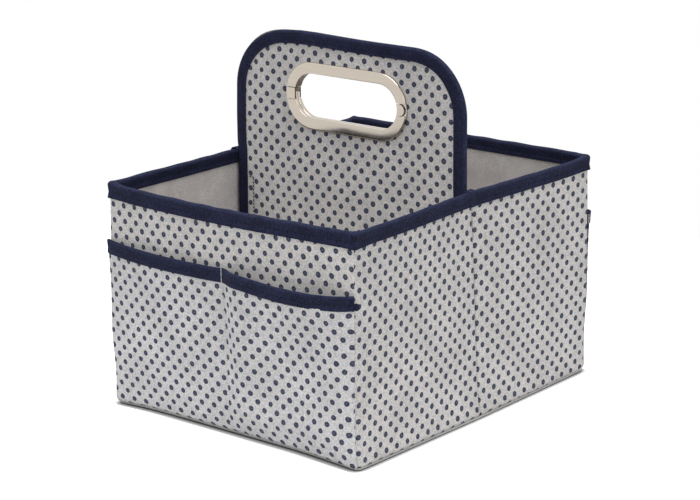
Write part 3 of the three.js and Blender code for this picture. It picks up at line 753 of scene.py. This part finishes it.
# %% Pocket panels and their bindings
LEFT_POCKET_CUT = ((-58.65, 63.74), (5.928, 6.184), (-6.303, 5.825))
RIGHT_POCKET_CUT = ((81.48, 62.82), (5.989, 6.376), (-6.120, 5.742))
ROLLED_TOP, MOUTH_LEVEL = 100.0, 130.0  # heights at which lengths are taken
POCKET_TAPE_FOLD, POCKET_TAPE_MIDDLE = 2.5, 12.21
POCKET_EASE_X = (0, 12, 24, 36, 48, 60, 72, 84, 96, 110)
POCKET_EASE = {  # how far the slack pocket's print is shifted sideways, by height in mm
    20: (-0.3, -0.6, -0.3, -0.1, -0.1, 0.1, 0.1, -0.6, -0.3, -0.1),
    40: (-0.1, 0.0, 0.3, 0.8, 1.0, 1.3, 1.8, 0.9, 0.1, 0.4),
    60: (0.0, 0.2, 0.2, 0.8, 1.7, 2.3, 2.9, 2.3, 0.5, 0.0),
    80: (0.0, 0.1, -0.3, 0.2, 1.5, 2.5, 2.6, 2.5, 1.8, -0.5),
    100: (-0.2, -0.3, -0.8, -0.1, 0.8, 1.3, 1.0, 0.3, 0.7, -0.6),
    120: (-0.3, -0.4, -0.6, -0.2, 0.3, 0.4, 0.0, -0.9, -1.4, -2.0),
}


def pocket_half(end, is_slack):
    """The panel's part on one side of the upright seam."""
    columns, share = spread((0, 14, 0.14, 40, 0.86, 14, 1))

    def along_of(s, z=ROLLED_TOP):
        reach = corner_reach(z) - SEAM_GAP
        if is_slack:
            return POCKET_SEAM + (reach - POCKET_SEAM) * share(s)
        return -reach + (POCKET_SEAM + reach) * share(s)

    def shape(s, t):
        z, sunk, _ = rolled_down(t, along_of(s), ROLLED_TOP)
        top = mouth_height(along_of(s, z)) - TAPE - LAYER_GAP
        bottom = roll_start(along_of(s))
        stretch = (top - bottom) / (ROLLED_TOP - bottom)
        z = np.where(z > bottom, bottom + (z - bottom) * stretch, z)
        along, height = along_of(s, z), (z - bottom) / (top - bottom)
        return along, z, sunk, height, stand_off(along, np.clip(height, 0, 1))

    def place(s, t):
        along, z, sunk, _, off = shape(s, t)
        return wall(end, along, COVER_DEPTH + sunk * 0.9 - (off + CLOTH), z)

    ends = (POCKET_SEAM, HALF_X) if is_slack else (-HALF_X, POCKET_SEAM)
    along_line = np.linspace(*ends, 400)
    steps = np.hypot(np.diff(along_line), np.diff(stand_off(along_line, 0.75)))
    length_line = np.concatenate([[0], np.cumsum(steps)])
    if not is_slack:
        length_line = length_line - length_line[-1]

    def flat(s, t):
        along, z, _, height, off = shape(s, t)
        aside = between_rows(along, z, POCKET_EASE_X, POCKET_EASE) * is_slack
        up = z + 0.08 * off * np.clip(height, 0, 1) - 0.3 * aside
        return np.interp(along, along_line, length_line) - aside, up

    cut, width, kind = ((RIGHT_POCKET_CUT, 128, "_slack") if is_slack
                        else (LEFT_POCKET_CUT, 122, "_flat"))
    panel = grid_piece(FACE[end] + kind + "_pocket_cloth", columns, 60, place, flat,
                       POCKET_COTTON, FACE[end] + "_pocket_panel", cut)


def pocket_tape(end):
    columns, share = spread((-1, 12, -0.93, 60, -0.1, 16, 0.0, 16, 0.1, 60, 0.93, 12, 1))
    reach = corner_reach(MOUTH_LEVEL)
    seam_at = POCKET_SEAM / float(reach)

    def along_of(s):
        k = share(s)
        k = np.where(k < 0, k * (1 + seam_at) + seam_at, seam_at + k * (1 - seam_at))
        return k * (reach - SEAM_GAP)

    def place(s, t):
        along = along_of(s)
        gap = stand_off(along, 1.0)
        outer, inner = gap + CLOTH + LAYER_GAP + TAPE, gap - LAYER_GAP - TAPE
        depth, rise, _ = tape_section(t, POCKET_DEPTH, 0.0, 1.0, 0.0, 0.0)
        depth = COVER_DEPTH - outer + (outer - inner) * depth
        lift = 0.10 * pucker(along) * np.exp(-rise / 3.5) - 0.2 * bell(rise - STITCH_UP, 0.9)
        lift = lift + 0.25 * bell(rise - POCKET_DEPTH + 2, 2.2)
        z = mouth_height(along) - POCKET_DEPTH + rise
        return wall(end, along, depth - np.where(t < 0.5, lift, 0.0), z)

    def flat(s, t):
        length = tape_section(t, POCKET_DEPTH, 0.0, POCKET_TAPE_FOLD)[2]
        return along_of(s), length - POCKET_TAPE_MIDDLE

    node = FACE[end] + "_pocket_binding"
    piece = grid_piece(node + "_tape", columns, 26, place, flat, BINDING, node)


for end in FACE:
    pocket_half(end, True)
    pocket_half(end, False)
    pocket_tape(end)
print("pockets done")

# %% [markdown]
# ## Stitches
# The tapes are sewn through with navy thread, and white thread closes the pockets' upright seam.
# The navy thread is far darker than the tape: partly its own colour, partly painted shade of the
# holes it sinks into.
# A stitch is a short pill of thread that dips into the cloth at both ends. It is repeated
# hundreds of times, so each one is a coarse sphere drawn out along its seam.

# %% Rows of stitches
NAVY_STITCH, WHITE_STITCH, TAB_STITCH = (2.9, 0.34), (2.0, 0.36), (2.4, 0.5)  # length, radius


def pill(mesh, middle, way, size, subdivisions):
    turn = way.to_track_quat("X", "Z").to_matrix().to_4x4()
    shape = Matrix.Diagonal((*(part * MM for part in size), 1))
    bmesh.ops.create_icosphere(mesh, subdivisions=subdivisions, radius=1,
                               matrix=Matrix.Translation(middle) @ turn @ shape)


def stitch_row(name, places, stitch, stuff=NAVY_SEWING):
    """places holds two arrays of points, the two ends of each stitch's own stretch of seam."""
    mesh = bmesh.new()
    length, radius = stitch
    for start, end in zip(*places):
        middle, way = Vector((start + end) / 2 * MM), Vector(end - start).normalized()
        pill(mesh, middle, way, (length / 2, radius, radius), 1)
    to_object(name, mesh, stuff)


def steps_along(low, high, pitch):
    count = int((high - low) / pitch)
    marks = low + (high - low) * np.arange(count + 1) / count
    return marks[:-1], marks[1:]


def rim_stitches(end):
    reach = float(side_reach(RIM_HEIGHT)) - 1.5
    z = RIM_HEIGHT - RIM_DEPTH + STITCH_UP
    depths = (STITCH_SUNK, RIM_INSIDE - STITCH_SUNK)
    rows = [np.concatenate([wall(end, marks, depth, z) for depth in depths])
            for marks in steps_along(-reach, reach, STITCH_PITCH)]
    stitch_row(FACE[end] + "_rim_stitches", rows, NAVY_STITCH)


def pocket_stitches(end):
    def on_tape(marks):
        off = stand_off(marks, 1.0) + CLOTH + LAYER_GAP + TAPE - 0.25
        return wall(end, marks, COVER_DEPTH - off, mouth_height(marks) - POCKET_DEPTH + STITCH_UP)

    def on_seam(marks):
        at = np.full(len(marks), POCKET_SEAM - 0.4)
        off = np.where(marks > tape_foot, stand_off(at, 1.0) + CLOTH + LAYER_GAP + TAPE,
                       stand_off(at, marks / POCKET_SEAM_HEIGHT) + CLOTH)
        return wall(end, at, COVER_DEPTH - off - 0.1, marks)

    name = FACE[end] + "_pocket"
    reach = float(corner_reach(MOUTH_LEVEL)) - 2
    rows = [on_tape(marks) for marks in steps_along(-reach, reach, STITCH_PITCH)]
    stitch_row(name + "_stitches", rows, NAVY_STITCH)

    tape_foot = POCKET_SEAM_HEIGHT - POCKET_DEPTH
    below = steps_along(9.0, tape_foot, 3.0)
    on_binding = steps_along(tape_foot + 0.3, POCKET_SEAM_HEIGHT - 0.2, 1.1)
    rows = [np.concatenate([on_seam(low), on_seam(high)]) for low, high in zip(below, on_binding)]
    stitch_row(name + "_seam_stitches", rows, WHITE_STITCH, WHITE_SEWING)


def tape_end(end):
    """Raw end of the pocket tape, caught in the upright corner seam and peeping out of it."""
    mesh = bmesh.new()
    z = mouth_height(np.array([121.0]))[0] - 8.6
    centre = wall(end, corner_reach(z) + 0.8, 0.1, z).reshape(3)
    pill(mesh, Vector(centre) * MM, Vector((end, end, 0)), (2.3, 1.5, 2.9), 4)
    bmesh.ops.smooth_vert(mesh, verts=mesh.verts, factor=0.3)
    add_map(mesh, "cloth", [(v.co.x + v.co.y, v.co.z + 0.01) for v in mesh.verts])
    to_object(FACE[end] + "_pocket_tape_end", mesh, (NAVY, "navy_binding", 0))


for end in FACE:
    rim_stitches(end)
    pocket_stitches(end)
    tape_end(end)
print("stitches done")

# %% [markdown]
# ## Divider
# The divider is a board between two dotted covers, with a round-topped outline and a slot for
# the grip. A grid whose columns each reach up to the outline keeps the rows of the print even.
# The faces inside the slot are deleted, and the edge left behind is moved onto the slot's own
# outline, where the metal frame hides it. Below the rim the covers widen to the leaning walls.
# The real divider seems to wave a little, front to back. This one is flat, and a table shifts
# its print by up to 3.3 mm instead. The table was fitted to the photograph's dots, so the print
# looks right from that angle, but the wave itself isn't modelled.

# %% Divider covers
DIVIDER_X, DIVIDER_HALF = -4.5, 115.2
DIVIDER_TOP, DIVIDER_BOTTOM, DIVIDER_RADIUS = 284.0, 1.6, 50.0
DIVIDER_FACE, COVER_INSET = 1.6, 1.0
DIVIDER_CUT = ((-14.49, 192.40), (6.451, 6.323), (-5.949, 6.234))
GRIP_Z, SLOT_HALF_X, SLOT_HALF_Z = 234.0, 54.5, 21.0
SAG_X = (-120, -112, -98, -82, -67, -52, -37, -22, -7, 8, 23, 68, 84, 98, 115)
SAG_Z = (0.0, -0.9, -1.8, -1.7, -0.3, 0.6, 0.6, 0.2, -0.2, -0.55, -0.7, -0.7, 0.0, 0.0, 0.0)
EASE_X = (-112, -96, -80, -64, -48, -32, -16, 0, 16, 32, 48, 64, 80, 96, 108)
EASE_ROWS = {  # sideways shift of the divider's print, by height and place across
    150: (3.3, 2.9, 1.3, 0.3, -0.5, -1.1, -1.4, -1.1, -0.2, 0.7, 1.1, 1.0, 0.4, 0.0, -0.2),
    175: (2.3, 1.3, -0.1, -1.3, -1.4, -1.3, -0.9, -0.5, 0.2, 1.0, 1.3, 1.0, 0.2, -0.2, -0.3),
    200: (2.6, 0.7, -0.6, -0.5, 0.1, 0.6, 0.7, 0.8, 0.8, 0.9, 1.1, 0.7, -0.4, -0.6, -0.7),
    225: (1.6, 0.3, 0.2, 0.5, 0.3, 0.5, 0.5, 0.5, 0.6, 0.6, 0.7, 0.1, -1.4, -1.3, -1.1),
    260: (0.6, 0.1, 0.2, 0.2, 0.2, 0.3, 0.3, 0.2, 0.3, 0.3, 0.2, -0.3, -1.3, -1.4, -1.3),
}


def widen(x, z):
    """The divider reaches out to the walls below the rim, which stand wider there."""
    local = x - DIVIDER_X
    down = 1 - np.clip(z / RIM_HEIGHT, 0, 1)
    reach = ease((np.abs(local) - 60) / 50)
    wider = 0.9 + 0.7 * ease((z - RIM_HEIGHT) / 8) * ease((235 - z) / 30)
    wider = wider - 0.9 * ease((z - 225) / 35)
    leaning = np.where(local > 0, RIGHT_DIP + SIDE_FLARE, -SIDE_FLARE)
    return x + reach * (down * leaning - wider * (local < 0))


def sewn_shape(x, z):
    """The divider's top isn't quite even, and below the rim it widens to the walls."""
    return widen(x, z), z + np.interp(x, SAG_X, SAG_Z) * ease((z - 226) / 40)


def divider_cover(side):
    def at(s, t):
        local = side * (2 * s - 1) * (DIVIDER_HALF - COVER_INSET)
        radius = DIVIDER_RADIUS - COVER_INSET
        corner = np.clip(np.abs(local) - (DIVIDER_HALF - DIVIDER_RADIUS), 0, radius)
        top = DIVIDER_TOP - COVER_INSET - radius + np.sqrt(np.maximum(radius**2 - corner**2, 0))
        return DIVIDER_X + local, DIVIDER_BOTTOM + (top - DIVIDER_BOTTOM) * t

    def flat(s, t):
        x, z = at(s, t)
        aside = between_rows(x, z, EASE_X, EASE_ROWS)
        return x - aside, z - (0.3 * aside + 1.2 * ease((z - 228) / 22) * ease((-62 - x) / 14))

    def place(s, t):
        x, z = at(s, t)
        ripple = 0.05 * (np.sin(x / 13 + z / 21) + np.sin(x / 7 - z / 11) + 2)
        ripple = ripple * ease((272 - z) / 12) * ease((100 - np.abs(x - DIVIDER_X)) / 10)
        y = -side * (DIVIDER_FACE + ripple)
        x, z = sewn_shape(x, z)
        return np.stack([x, y, z], -1)

    def cut_slot(mesh):
        straight = SLOT_HALF_X - SLOT_HALF_Z

        def inside(co, margin):
            x, z = abs(co.x / MM - DIVIDER_X), co.z / MM - GRIP_Z
            return np.hypot(max(x - straight, 0), z) < SLOT_HALF_Z + margin

        gone = [f for f in mesh.faces if inside(f.calc_center_median(), 0)]
        bmesh.ops.delete(mesh, geom=gone, context="FACES")
        for vertex in mesh.verts:
            if vertex.is_boundary and inside(vertex.co, 4):
                x, z = vertex.co.x / MM - DIVIDER_X, vertex.co.z / MM - GRIP_Z
                centre = max(min(x, straight), -straight)
                way = np.array([x - centre, z]) / max(np.hypot(x - centre, z), 1e-6)
                vertex.co.x = (DIVIDER_X + centre + way[0] * SLOT_HALF_Z) * MM
                vertex.co.z = (GRIP_Z + way[1] * SLOT_HALF_Z) * MM

    node = f"divider_{FACE[side]}_cover"
    piece = grid_piece(node + "_cloth", 92, 112, place, flat, COTTON, node, DIVIDER_CUT, cut_slot)


for side in FACE:
    divider_cover(side)
print("divider covers done")

# %% [markdown]
# ## Divider binding and tabs
# A tape like the rim's runs up one side of the divider, over its round top and down the other.
# Its path lies in the divider's own plane. Behind the divider two strips of dotted cloth tie its
# edges to the long sides, below the rim.

# %% Divider binding
DIVIDER_TAPE_DEPTH, DIVIDER_TAPE_FACE = 10.5, 2.6
DIVIDER_STITCH_UP, DIVIDER_STITCH_FACE = 2.6, 2.3
DIVIDER_TAPE_MIDDLE = 11.98


def divider_path(length):
    """Point and outward direction in x and z, for a distance along the divider's edge."""
    straight = DIVIDER_TOP - DIVIDER_RADIUS - DIVIDER_BOTTOM
    arc = DIVIDER_RADIUS * pi / 2
    flat_top = 2 * (DIVIDER_HALF - DIVIDER_RADIUS)
    half = straight + arc + flat_top / 2
    side = np.where(length < half, -1.0, 1.0)
    from_foot = np.where(length < half, length, 2 * half - length)
    angle = np.clip((from_foot - straight) / DIVIDER_RADIUS, 0, pi / 2)
    inward = np.maximum(from_foot - straight - arc, 0)
    x = DIVIDER_HALF - DIVIDER_RADIUS * (1 - np.cos(angle)) - inward
    z = DIVIDER_BOTTOM + np.minimum(from_foot, straight) + DIVIDER_RADIUS * np.sin(angle)
    return side * x, z, side * np.cos(angle), np.sin(angle), 2 * half


DIVIDER_EDGE = float(divider_path(np.array([0.0]))[4])


def on_edge(length, rise, y):
    """A point of the divider's tape, at a rise above its inner edge."""
    x, z, out_x, out_z, _ = divider_path(length)
    reach = rise - DIVIDER_TAPE_DEPTH
    px, pz = sewn_shape(DIVIDER_X + (x + out_x * reach), z + out_z * reach)
    return np.stack([px, y, pz], -1)


def divider_tape():
    def place(s, t):
        length, face = s * DIVIDER_EDGE, DIVIDER_TAPE_FACE
        across, rise, _ = tape_section(t, DIVIDER_TAPE_DEPTH, -face, face, 0.15, 0.22,
                                       DIVIDER_STITCH_UP)
        edge = 0.08 * pucker(length) * np.exp(-rise / 3.5) * np.where(t < 0.5, -1, 1)
        return on_edge(length, rise, across + edge)

    def flat(s, t):
        face = DIVIDER_TAPE_FACE
        length = tape_section(t, DIVIDER_TAPE_DEPTH, -face, face)[2]
        return s * DIVIDER_EDGE, length - DIVIDER_TAPE_MIDDLE

    piece = grid_piece("divider_binding_tape", 300, 30, place, flat, BINDING, "divider_binding")


divider_tape()
rows = [np.concatenate([on_edge(marks, DIVIDER_STITCH_UP,
                                np.full(len(marks), -side * DIVIDER_STITCH_FACE))
                        for side in FACE])
        for marks in steps_along(4.0, DIVIDER_EDGE - 4.0, STITCH_PITCH)]
stitch_row("divider_stitches", rows, NAVY_STITCH)
print("divider edge", round(DIVIDER_EDGE), "mm")

# %% Tabs behind the divider
TAB_REACH, TAB_FLANGE, TAB_TOP, TAB_ROUND = 20.0, 12.0, 159.0, 2.0
LINING_X = 118.2  # the side wall's inner face
TAB_STITCH_FAR, TAB_STITCH_NEAR, TAB_STITCH_DROP = 16.7, 10.9, 0.8  # from the tab's two edges


def divider_tab(side, name):
    back = DIVIDER_TAPE_FACE + LAYER_GAP + CLOTH

    def place(s, t):
        z = DIVIDER_BOTTOM + (TAB_TOP - DIVIDER_BOTTOM) * t
        length = (s if side > 0 else 1 - s) * (TAB_REACH + TAB_FLANGE)
        turned = ease((length - TAB_REACH + TAB_ROUND) / (2 * TAB_ROUND))
        edge = widen(DIVIDER_X + side * DIVIDER_HALF, z)
        y = back + np.maximum(length - TAB_REACH, 0)
        wall_x = lean(side * LINING_X, y, z)[0]
        x = edge - side * np.maximum(TAB_REACH - length, 0)
        return np.stack([x + (wall_x - side * CLOTH - edge) * turned, y, z], -1)

    node = "divider_tab_" + name
    piece = grid_piece(node + "_cloth", 24, 30, place, lambda s, t: (s * 32, t * 157), COTTON,
                       node, FRONT_CUT)


def tab_stitches(side, name):
    """The tab behind is sewn through the divider, in an L that shows on its front."""
    upright = DIVIDER_X + side * (DIVIDER_HALF - TAB_STITCH_FAR)
    edge = DIVIDER_X + side * (DIVIDER_HALF - TAB_STITCH_NEAR)
    turn_z = TAB_TOP - TAB_STITCH_DROP

    def point(x, z):
        x, z = np.broadcast_arrays(x, z)
        return np.stack([x, np.full(len(x), -DIVIDER_FACE - 0.3), z], -1)

    down = steps_along(-turn_z, -8.0, 3.0)
    inward = steps_along(min(upright, edge), max(upright, edge), 2.0)
    rows = [np.concatenate([point(widen(upright, -low), -low), point(level, turn_z)])
            for low, level in zip(down, inward)]
    stitch_row("divider_tab_stitches_" + name, rows, TAB_STITCH)


for side, name in ((1, "right"), (-1, "left")):
    divider_tab(side, name)
    tab_stitches(side, name)
print("tabs done")

# %% [markdown]
# ## Base and lift-out inserts
# The underside cloth, the felt floor and the covers of the two lift-out inserts are sheets with
# a round-cornered outline. Each is grown from its edge inward: an outline of vertices, rings
# extruded from it, and a face in the last ring.

# %% Sheets grown ring by ring
EDGE_LINE = ((6.4, 2.4), (5.6, 2.7), (5.0, 2.4), (4.65, 1.65), (4.85, 0.8), (5.5, 0.2),
             (6.5, 0.0), (7.9, 0.0), (12.0, 0.0))  # depth and height of the underside's rings


def extruded(mesh, edges):
    """Extrudes edges, and returns the new vertices and the edges that run between them."""
    geom = bmesh.ops.extrude_edge_only(mesh, edges=edges)["geom"]
    fresh = [g for g in geom if isinstance(g, bmesh.types.BMVert)]
    return fresh, [g for g in geom if isinstance(g, bmesh.types.BMEdge)
                   and all(v in fresh for v in g.verts)]


def ring_piece(name, rings, up, stuff, body, stands_for):
    """rings is a list of equal arrays of points, from the edge inward."""
    mesh = bmesh.new()
    bmesh.ops.create_circle(mesh, segments=len(rings[0]), radius=1)
    mesh.verts.ensure_lookup_table()
    current, edges = list(mesh.verts), list(mesh.edges)
    for vertex, point in zip(current, rings[0]):
        vertex.co = point * MM
    for ring in rings[1:]:
        fresh, edges = extruded(mesh, edges)
        order = {}
        for vertex in fresh:
            before = next(e.other_vert(vertex) for e in vertex.link_edges
                          if e.other_vert(vertex) not in fresh)
            order[vertex] = current.index(before)
        current = sorted(fresh, key=order.get)
        for vertex, point in zip(current, ring):
            vertex.co = point * MM
    bmesh.ops.contextual_create(mesh, geom=edges)
    bmesh.ops.recalc_face_normals(mesh, faces=mesh.faces)
    if sum(f.normal.z * f.calc_area() for f in mesh.faces) * up < 0:
        bmesh.ops.reverse_faces(mesh, faces=mesh.faces)
    return to_object(name, mesh, stuff, body, stands_for)


def base_ring(depth, z, count=90):
    """Closed outline of the whole base. Depth and height shrink with the roll of the walls."""
    reach = float(side_reach(z))
    along = np.linspace(-reach, reach, count, endpoint=False)
    share = roll_start(along) / ROLL_START if depth < 8 else 1.0
    halves = []
    for end in FACE:
        x, y = outline(along, (depth - COVER_DEPTH) * share, z)
        halves.append(np.stack(lean(end * x, end * y, z * share + 0 * along), -1))
    return np.concatenate(halves)


underside = ring_piece("base_underside_cloth", [base_ring(*p) for p in EDGE_LINE], -1,
                       (UNDERSIDE, "underside_cloth", CLOTH), "caddy", "base_outer_cover")
felt_floor = ring_piece("base_felt_floor", [base_ring(d, 1.3) for d in (8.5, 10, 14)], 1,
                        FELT, "caddy", "base_lining")
print("base", [round(v, 4) for v in felt_floor.dimensions])

# %% Lift-out insert covers
INSERT_HALF_X, INSERT_NEAR, INSERT_FAR, INSERT_CORNER = 109.0, 5.1, 140.5, 6.0
# inset and height of the cover's rings
INSERT_LINE = ((0, 1.6), (0, 3.2), (0.25, 4.0), (1.0, 4.4), (4, 4.4), (20, 4.4), (50, 4.4))


def insert_ring(inset, z, end, steps=6):
    radius = max(INSERT_CORNER - inset, 0.6)
    half_x, half_y = INSERT_HALF_X - inset, (INSERT_FAR - INSERT_NEAR) / 2 - inset
    middle = -end * (INSERT_FAR + INSERT_NEAR) / 2
    points = []
    for quarter, (side_x, side_y) in enumerate(((1, 1), (-1, 1), (-1, -1), (1, -1))):
        for i in range(steps + 1):
            angle = (quarter + i / steps) * pi / 2
            points.append((side_x * (half_x - radius) + radius * cos(angle),
                           middle + side_y * (half_y - radius) + radius * sin(angle), z))
    return np.array(points)


for end in FACE:
    body = FACE[end] + "_insert"
    node = body + "_cover"
    cover = ring_piece(node + "_felt", [insert_ring(*p, end) for p in INSERT_LINE], 1,
                       FELT, body, node)
print("insert covers done")

# %% [markdown]
# ## Metal grip
# Each face of the divider carries a stamped ring of satin nickel, in an upper and a lower half,
# with a square block at one end and a round-nosed one at the other. The ring's band is flat near
# the opening and curves down to its outer edge. Its section is drawn once as a loop of edges,
# spun round one end of the slot, pulled straight, spun round the other end and pulled back.
# The two halves and the blocks are then cut from that ring with Boolean modifiers, whose result
# is kept as plain mesh, so the cut faces fit each other exactly.

# %% The ring's section, swept round the slot
OPEN_HALF, OPEN_RADIUS = 51.5, 18.0
BAND_LINE = [(0.0, 3.55), (0.05, 3.7), (0.15, 3.81), (0.32, 3.86), (0.6, 3.875), (4.0, 3.97),
             (7.9, 4.08), (8.3, 4.085), (8.58, 4.03), (8.8, 3.9), (8.94, 3.7), (9.0, 3.45),
             (9.0, 1.9)]
SLEEVE = [(1.0, 1.9), (1.0, 0.2), (0.5, 0.2), (0.22, 0.34), (0.06, 0.56), (0.0, 0.85)]
FLANGE = [(0.0, 1.9)]


def ring(line, side):
    """line gives the section's points: their way out from the opening, and their height."""
    mesh = bmesh.new()
    reach, foot = OPEN_HALF - OPEN_RADIUS, GRIP_Z - OPEN_RADIUS
    rim = [mesh.verts.new(((DIVIDER_X + reach) * MM, -side * h * MM, (foot - a) * MM))
           for a, h in line]
    geom = rim + [mesh.edges.new((rim[i], rim[(i + 1) % len(rim)])) for i in range(len(rim))]
    for sign in (1, -1):
        centre = Vector((DIVIDER_X + sign * reach, 0, GRIP_Z)) * MM
        geom = bmesh.ops.spin(mesh, geom=geom, cent=centre, axis=(0, -1, 0), angle=pi,
                              steps=40)["geom_last"]
        edges = [g for g in geom if isinstance(g, bmesh.types.BMEdge)]
        moved, edges = extruded(mesh, edges)
        bmesh.ops.translate(mesh, vec=(-sign * 2 * reach * MM, 0, 0), verts=moved)
        geom = moved + edges
    bmesh.ops.remove_doubles(mesh, verts=mesh.verts, dist=1e-6)
    bmesh.ops.recalc_face_normals(mesh, faces=mesh.faces)
    return mesh


def box_cutter(low, high, nose=0.0):
    """A block between two corners, with a round nose on its +X side where nose is its radius."""
    mesh = bmesh.new()
    size, middle = np.subtract(high, low) * MM, np.add(high, low) / 2 * MM
    bmesh.ops.create_cube(mesh, size=1,
                          matrix=Matrix.Translation(middle) @ Matrix.Diagonal((*size, 1)))
    if nose:
        upright = [e for e in mesh.edges if all(v.co.x > middle[0] for v in e.verts)
                   and abs(e.verts[0].co.y - e.verts[1].co.y) > 1e-6]
        bmesh.ops.bevel(mesh, geom=upright, offset=nose * MM * 0.999, segments=14, profile=0.5,
                        affect="EDGES", material=-1, offset_type="OFFSET")
    return mesh


def carved(name, mesh, cuts, node):
    """Cuts a ring with (operation, cutter) pairs and keeps the result as one plain mesh."""
    piece = to_object(name, mesh, (NICKEL, "satin_nickel", 0))
    tools = []
    for operation, cutter in cuts:
        tools.append(from_bmesh("cutter", cutter))
        modifier = piece.modifiers.new("cut", "BOOLEAN")
        modifier.object, modifier.operation, modifier.solver = tools[-1], operation, "EXACT"
    bpy.context.view_layer.update()
    graph = bpy.context.evaluated_depsgraph_get()
    shaped = bpy.data.meshes.new_from_object(piece.evaluated_get(graph))
    piece.modifiers.clear()
    piece.data = shaped
    for tool in tools:
        bpy.data.objects.remove(tool)
    shaped.set_sharp_from_angle(angle=radians(28))
    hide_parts(node)
    print(name, len(shaped.polygons), "faces")


# %% Cut the frames and blocks of the grip
BLOCK_HALF, FIT, TOP_FIT = 4.5, 0.3, 0.6
SQUARE_BODY, SQUARE_LIP, SQUARE_SEAT = 53.1, 51.6, 52.5
LIP_BACK, SLEEVE_FACE = 3.65, 2.3  # the lip over the sleeve, and the sleeve's end below it
NOSE_TIP, NOSE_SEAT = 58.7, 60.0
WIDE, THROUGH = (-80, 80), (-1, 6)


def grip_parts(side, face):
    def box(x, h, z, nose=0.0):
        y = sorted(-side * value for value in h)
        return box_cutter((DIVIDER_X + x[0], y[0], GRIP_Z + z[0]),
                          (DIVIDER_X + x[1], y[1], GRIP_Z + z[1]), nose)

    half, seat = BLOCK_HALF, BLOCK_HALF + FIT
    level = (-half, half)
    rows = (
        ("upper_ring", "upper_frame", SLEEVE,
         [("INTERSECT", box(WIDE, THROUGH, (half + TOP_FIT, 60)))]),
        ("lower_ring", "lower_frame", SLEEVE,
         [("INTERSECT", box(WIDE, THROUGH, (-60, half + 0.2))),
          ("DIFFERENCE", box((-80, -SQUARE_SEAT), THROUGH, (-seat, 60))),
          ("DIFFERENCE", box((-81, -50), (SLEEVE_FACE, 7), (-seat, 61))),
          ("DIFFERENCE", box((20, NOSE_SEAT), THROUGH, (-seat, seat), seat)),
          ("DIFFERENCE", box((19, NOSE_SEAT + 2), (3.0, 7), (-seat + 0.5, seat + 2)))]),
        ("square_end", "square_block", FLANGE,
         [("INTERSECT", box((-80, -SQUARE_LIP), THROUGH, level)),
          ("DIFFERENCE", box((-SQUARE_BODY, 0), (-2, LIP_BACK), (-9, 9)))]),
        ("round_end", "round_block", FLANGE,
         [("INTERSECT", box((20, NOSE_TIP), THROUGH, level, half))]),
    )
    for name, part, back, cuts in rows:
        carved(f"grip_{face}_{name}", ring(BAND_LINE + back, side), cuts, f"grip_{face}_{part}")


for side, face in FACE.items():
    grip_parts(side, face)

# %% Finishes for the CAD nodes that stay
STAYING = {"grip_rivet": NICKEL, "divider_board": BOARD, "insert_board": BOARD}
kept = [(node, finish) for name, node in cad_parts.items()
        for word, finish in STAYING.items() if word in name]
for node, finish in kept:
    if not node.material_slots:
        node.data.materials.append(finish)
    for slot in node.material_slots:
        slot.material = finish
print("CAD nodes that stay", [node.name for node, _ in kept])

# %% [markdown]
# ## Floor and light
# The photograph is a studio cut-out on white with a soft shadow under the bin. A small pale
# floor keeps that shadow and bounces light onto the walls. Where the bin stands on it, an
# occlusion mask paints a dark shadow into the floor's colour and glow. The world gives an
# even fill from above, and three broad lamps model the form.
# Only camera and glossy rays see the world lifted to white, and only camera rays the floor.

# %% Floor
WHITE = (1, 1, 1, 1)
floor_mesh = bmesh.new()
bmesh.ops.create_grid(floor_mesh, x_segments=1, y_segments=1, size=0.55)
floor = from_bmesh("floor", floor_mesh)
floor.location.z = -0.0002


def pale_floor():
    g = Graph("pale_floor")
    # Painted shadow: occlusion within 5.5 mm darkens the floor's colour and its camera glow where
    # the bin stands on it.
    near = g.node("AmbientOcclusion", 1, {"Distance": 0.0055}, samples=8)
    painted_contact_shadow = g.math("POWER", near, 2.4)
    g.finish(g.mix(painted_contact_shadow, (0.02, 0.02, 0.022), (0.86, 0.86, 0.86)), 0.9)
    glow = g.node("Emission", 0, {"Color": g.mix(painted_contact_shadow, (0, 0, 0), (1, 1, 1)), "Strength": 1.0})
    nothing = g.node("Emission", 0, {"Strength": 0.0})
    seen = g.math("MULTIPLY", g.node("LightPath"), 0.7)
    lift = g.node("MixShader", 0, {0: seen, 1: nothing, 2: glow})
    mixed = g.node("AddShader", 0, {0: g.shader.outputs[0], 1: lift})
    g.put(g.tree.nodes["Material Output"].inputs["Surface"], mixed)
    return g.owner


floor.data.materials.append(pale_floor())

# %% World and lamps
world = bpy.data.worlds.new("studio")
bpy.context.scene.world = world
sky = Graph("studio", world)
height = sky.node("SeparateXYZ", 2, {0: sky.node("TexCoord", 0)})
sky.put(sky.shader.inputs["Color"], WHITE)
sky.put(sky.shader.inputs["Strength"], sky.span(height, -0.03, 0.03, 0.04, 0.5, "LINEAR"))
white = sky.node("Background", 0, {"Color": WHITE, "Strength": 1.0})
camera_ray = sky.node("LightPath")
either = sky.math("MAXIMUM", camera_ray, camera_ray.node.outputs["Is Glossy Ray"])
choose = sky.node("MixShader", 0, {0: either, 1: sky.shader.outputs[0], 2: white})
sky.put(sky.tree.nodes["World Output"].inputs["Surface"], choose)


def lamp(name, at, size, watts):
    data = bpy.data.lights.new(name, "AREA")
    data.shape, data.size, data.energy = "DISK", size, watts
    made = add_object(name, data)
    made.location = at
    aim = Vector((0, 0, 0.12)) - Vector(at)
    made.rotation_euler = aim.to_track_quat("-Z", "Y").to_euler()


lamp("overhead", (0.3, -0.2, 2.5), 2.2, 38)
lamp("key", (-0.7, -2.4, 1.7), 1.6, 22)
lamp("side", (2.5, -0.2, 1.5), 1.6, 15)

# %% Finish
print("scene built")
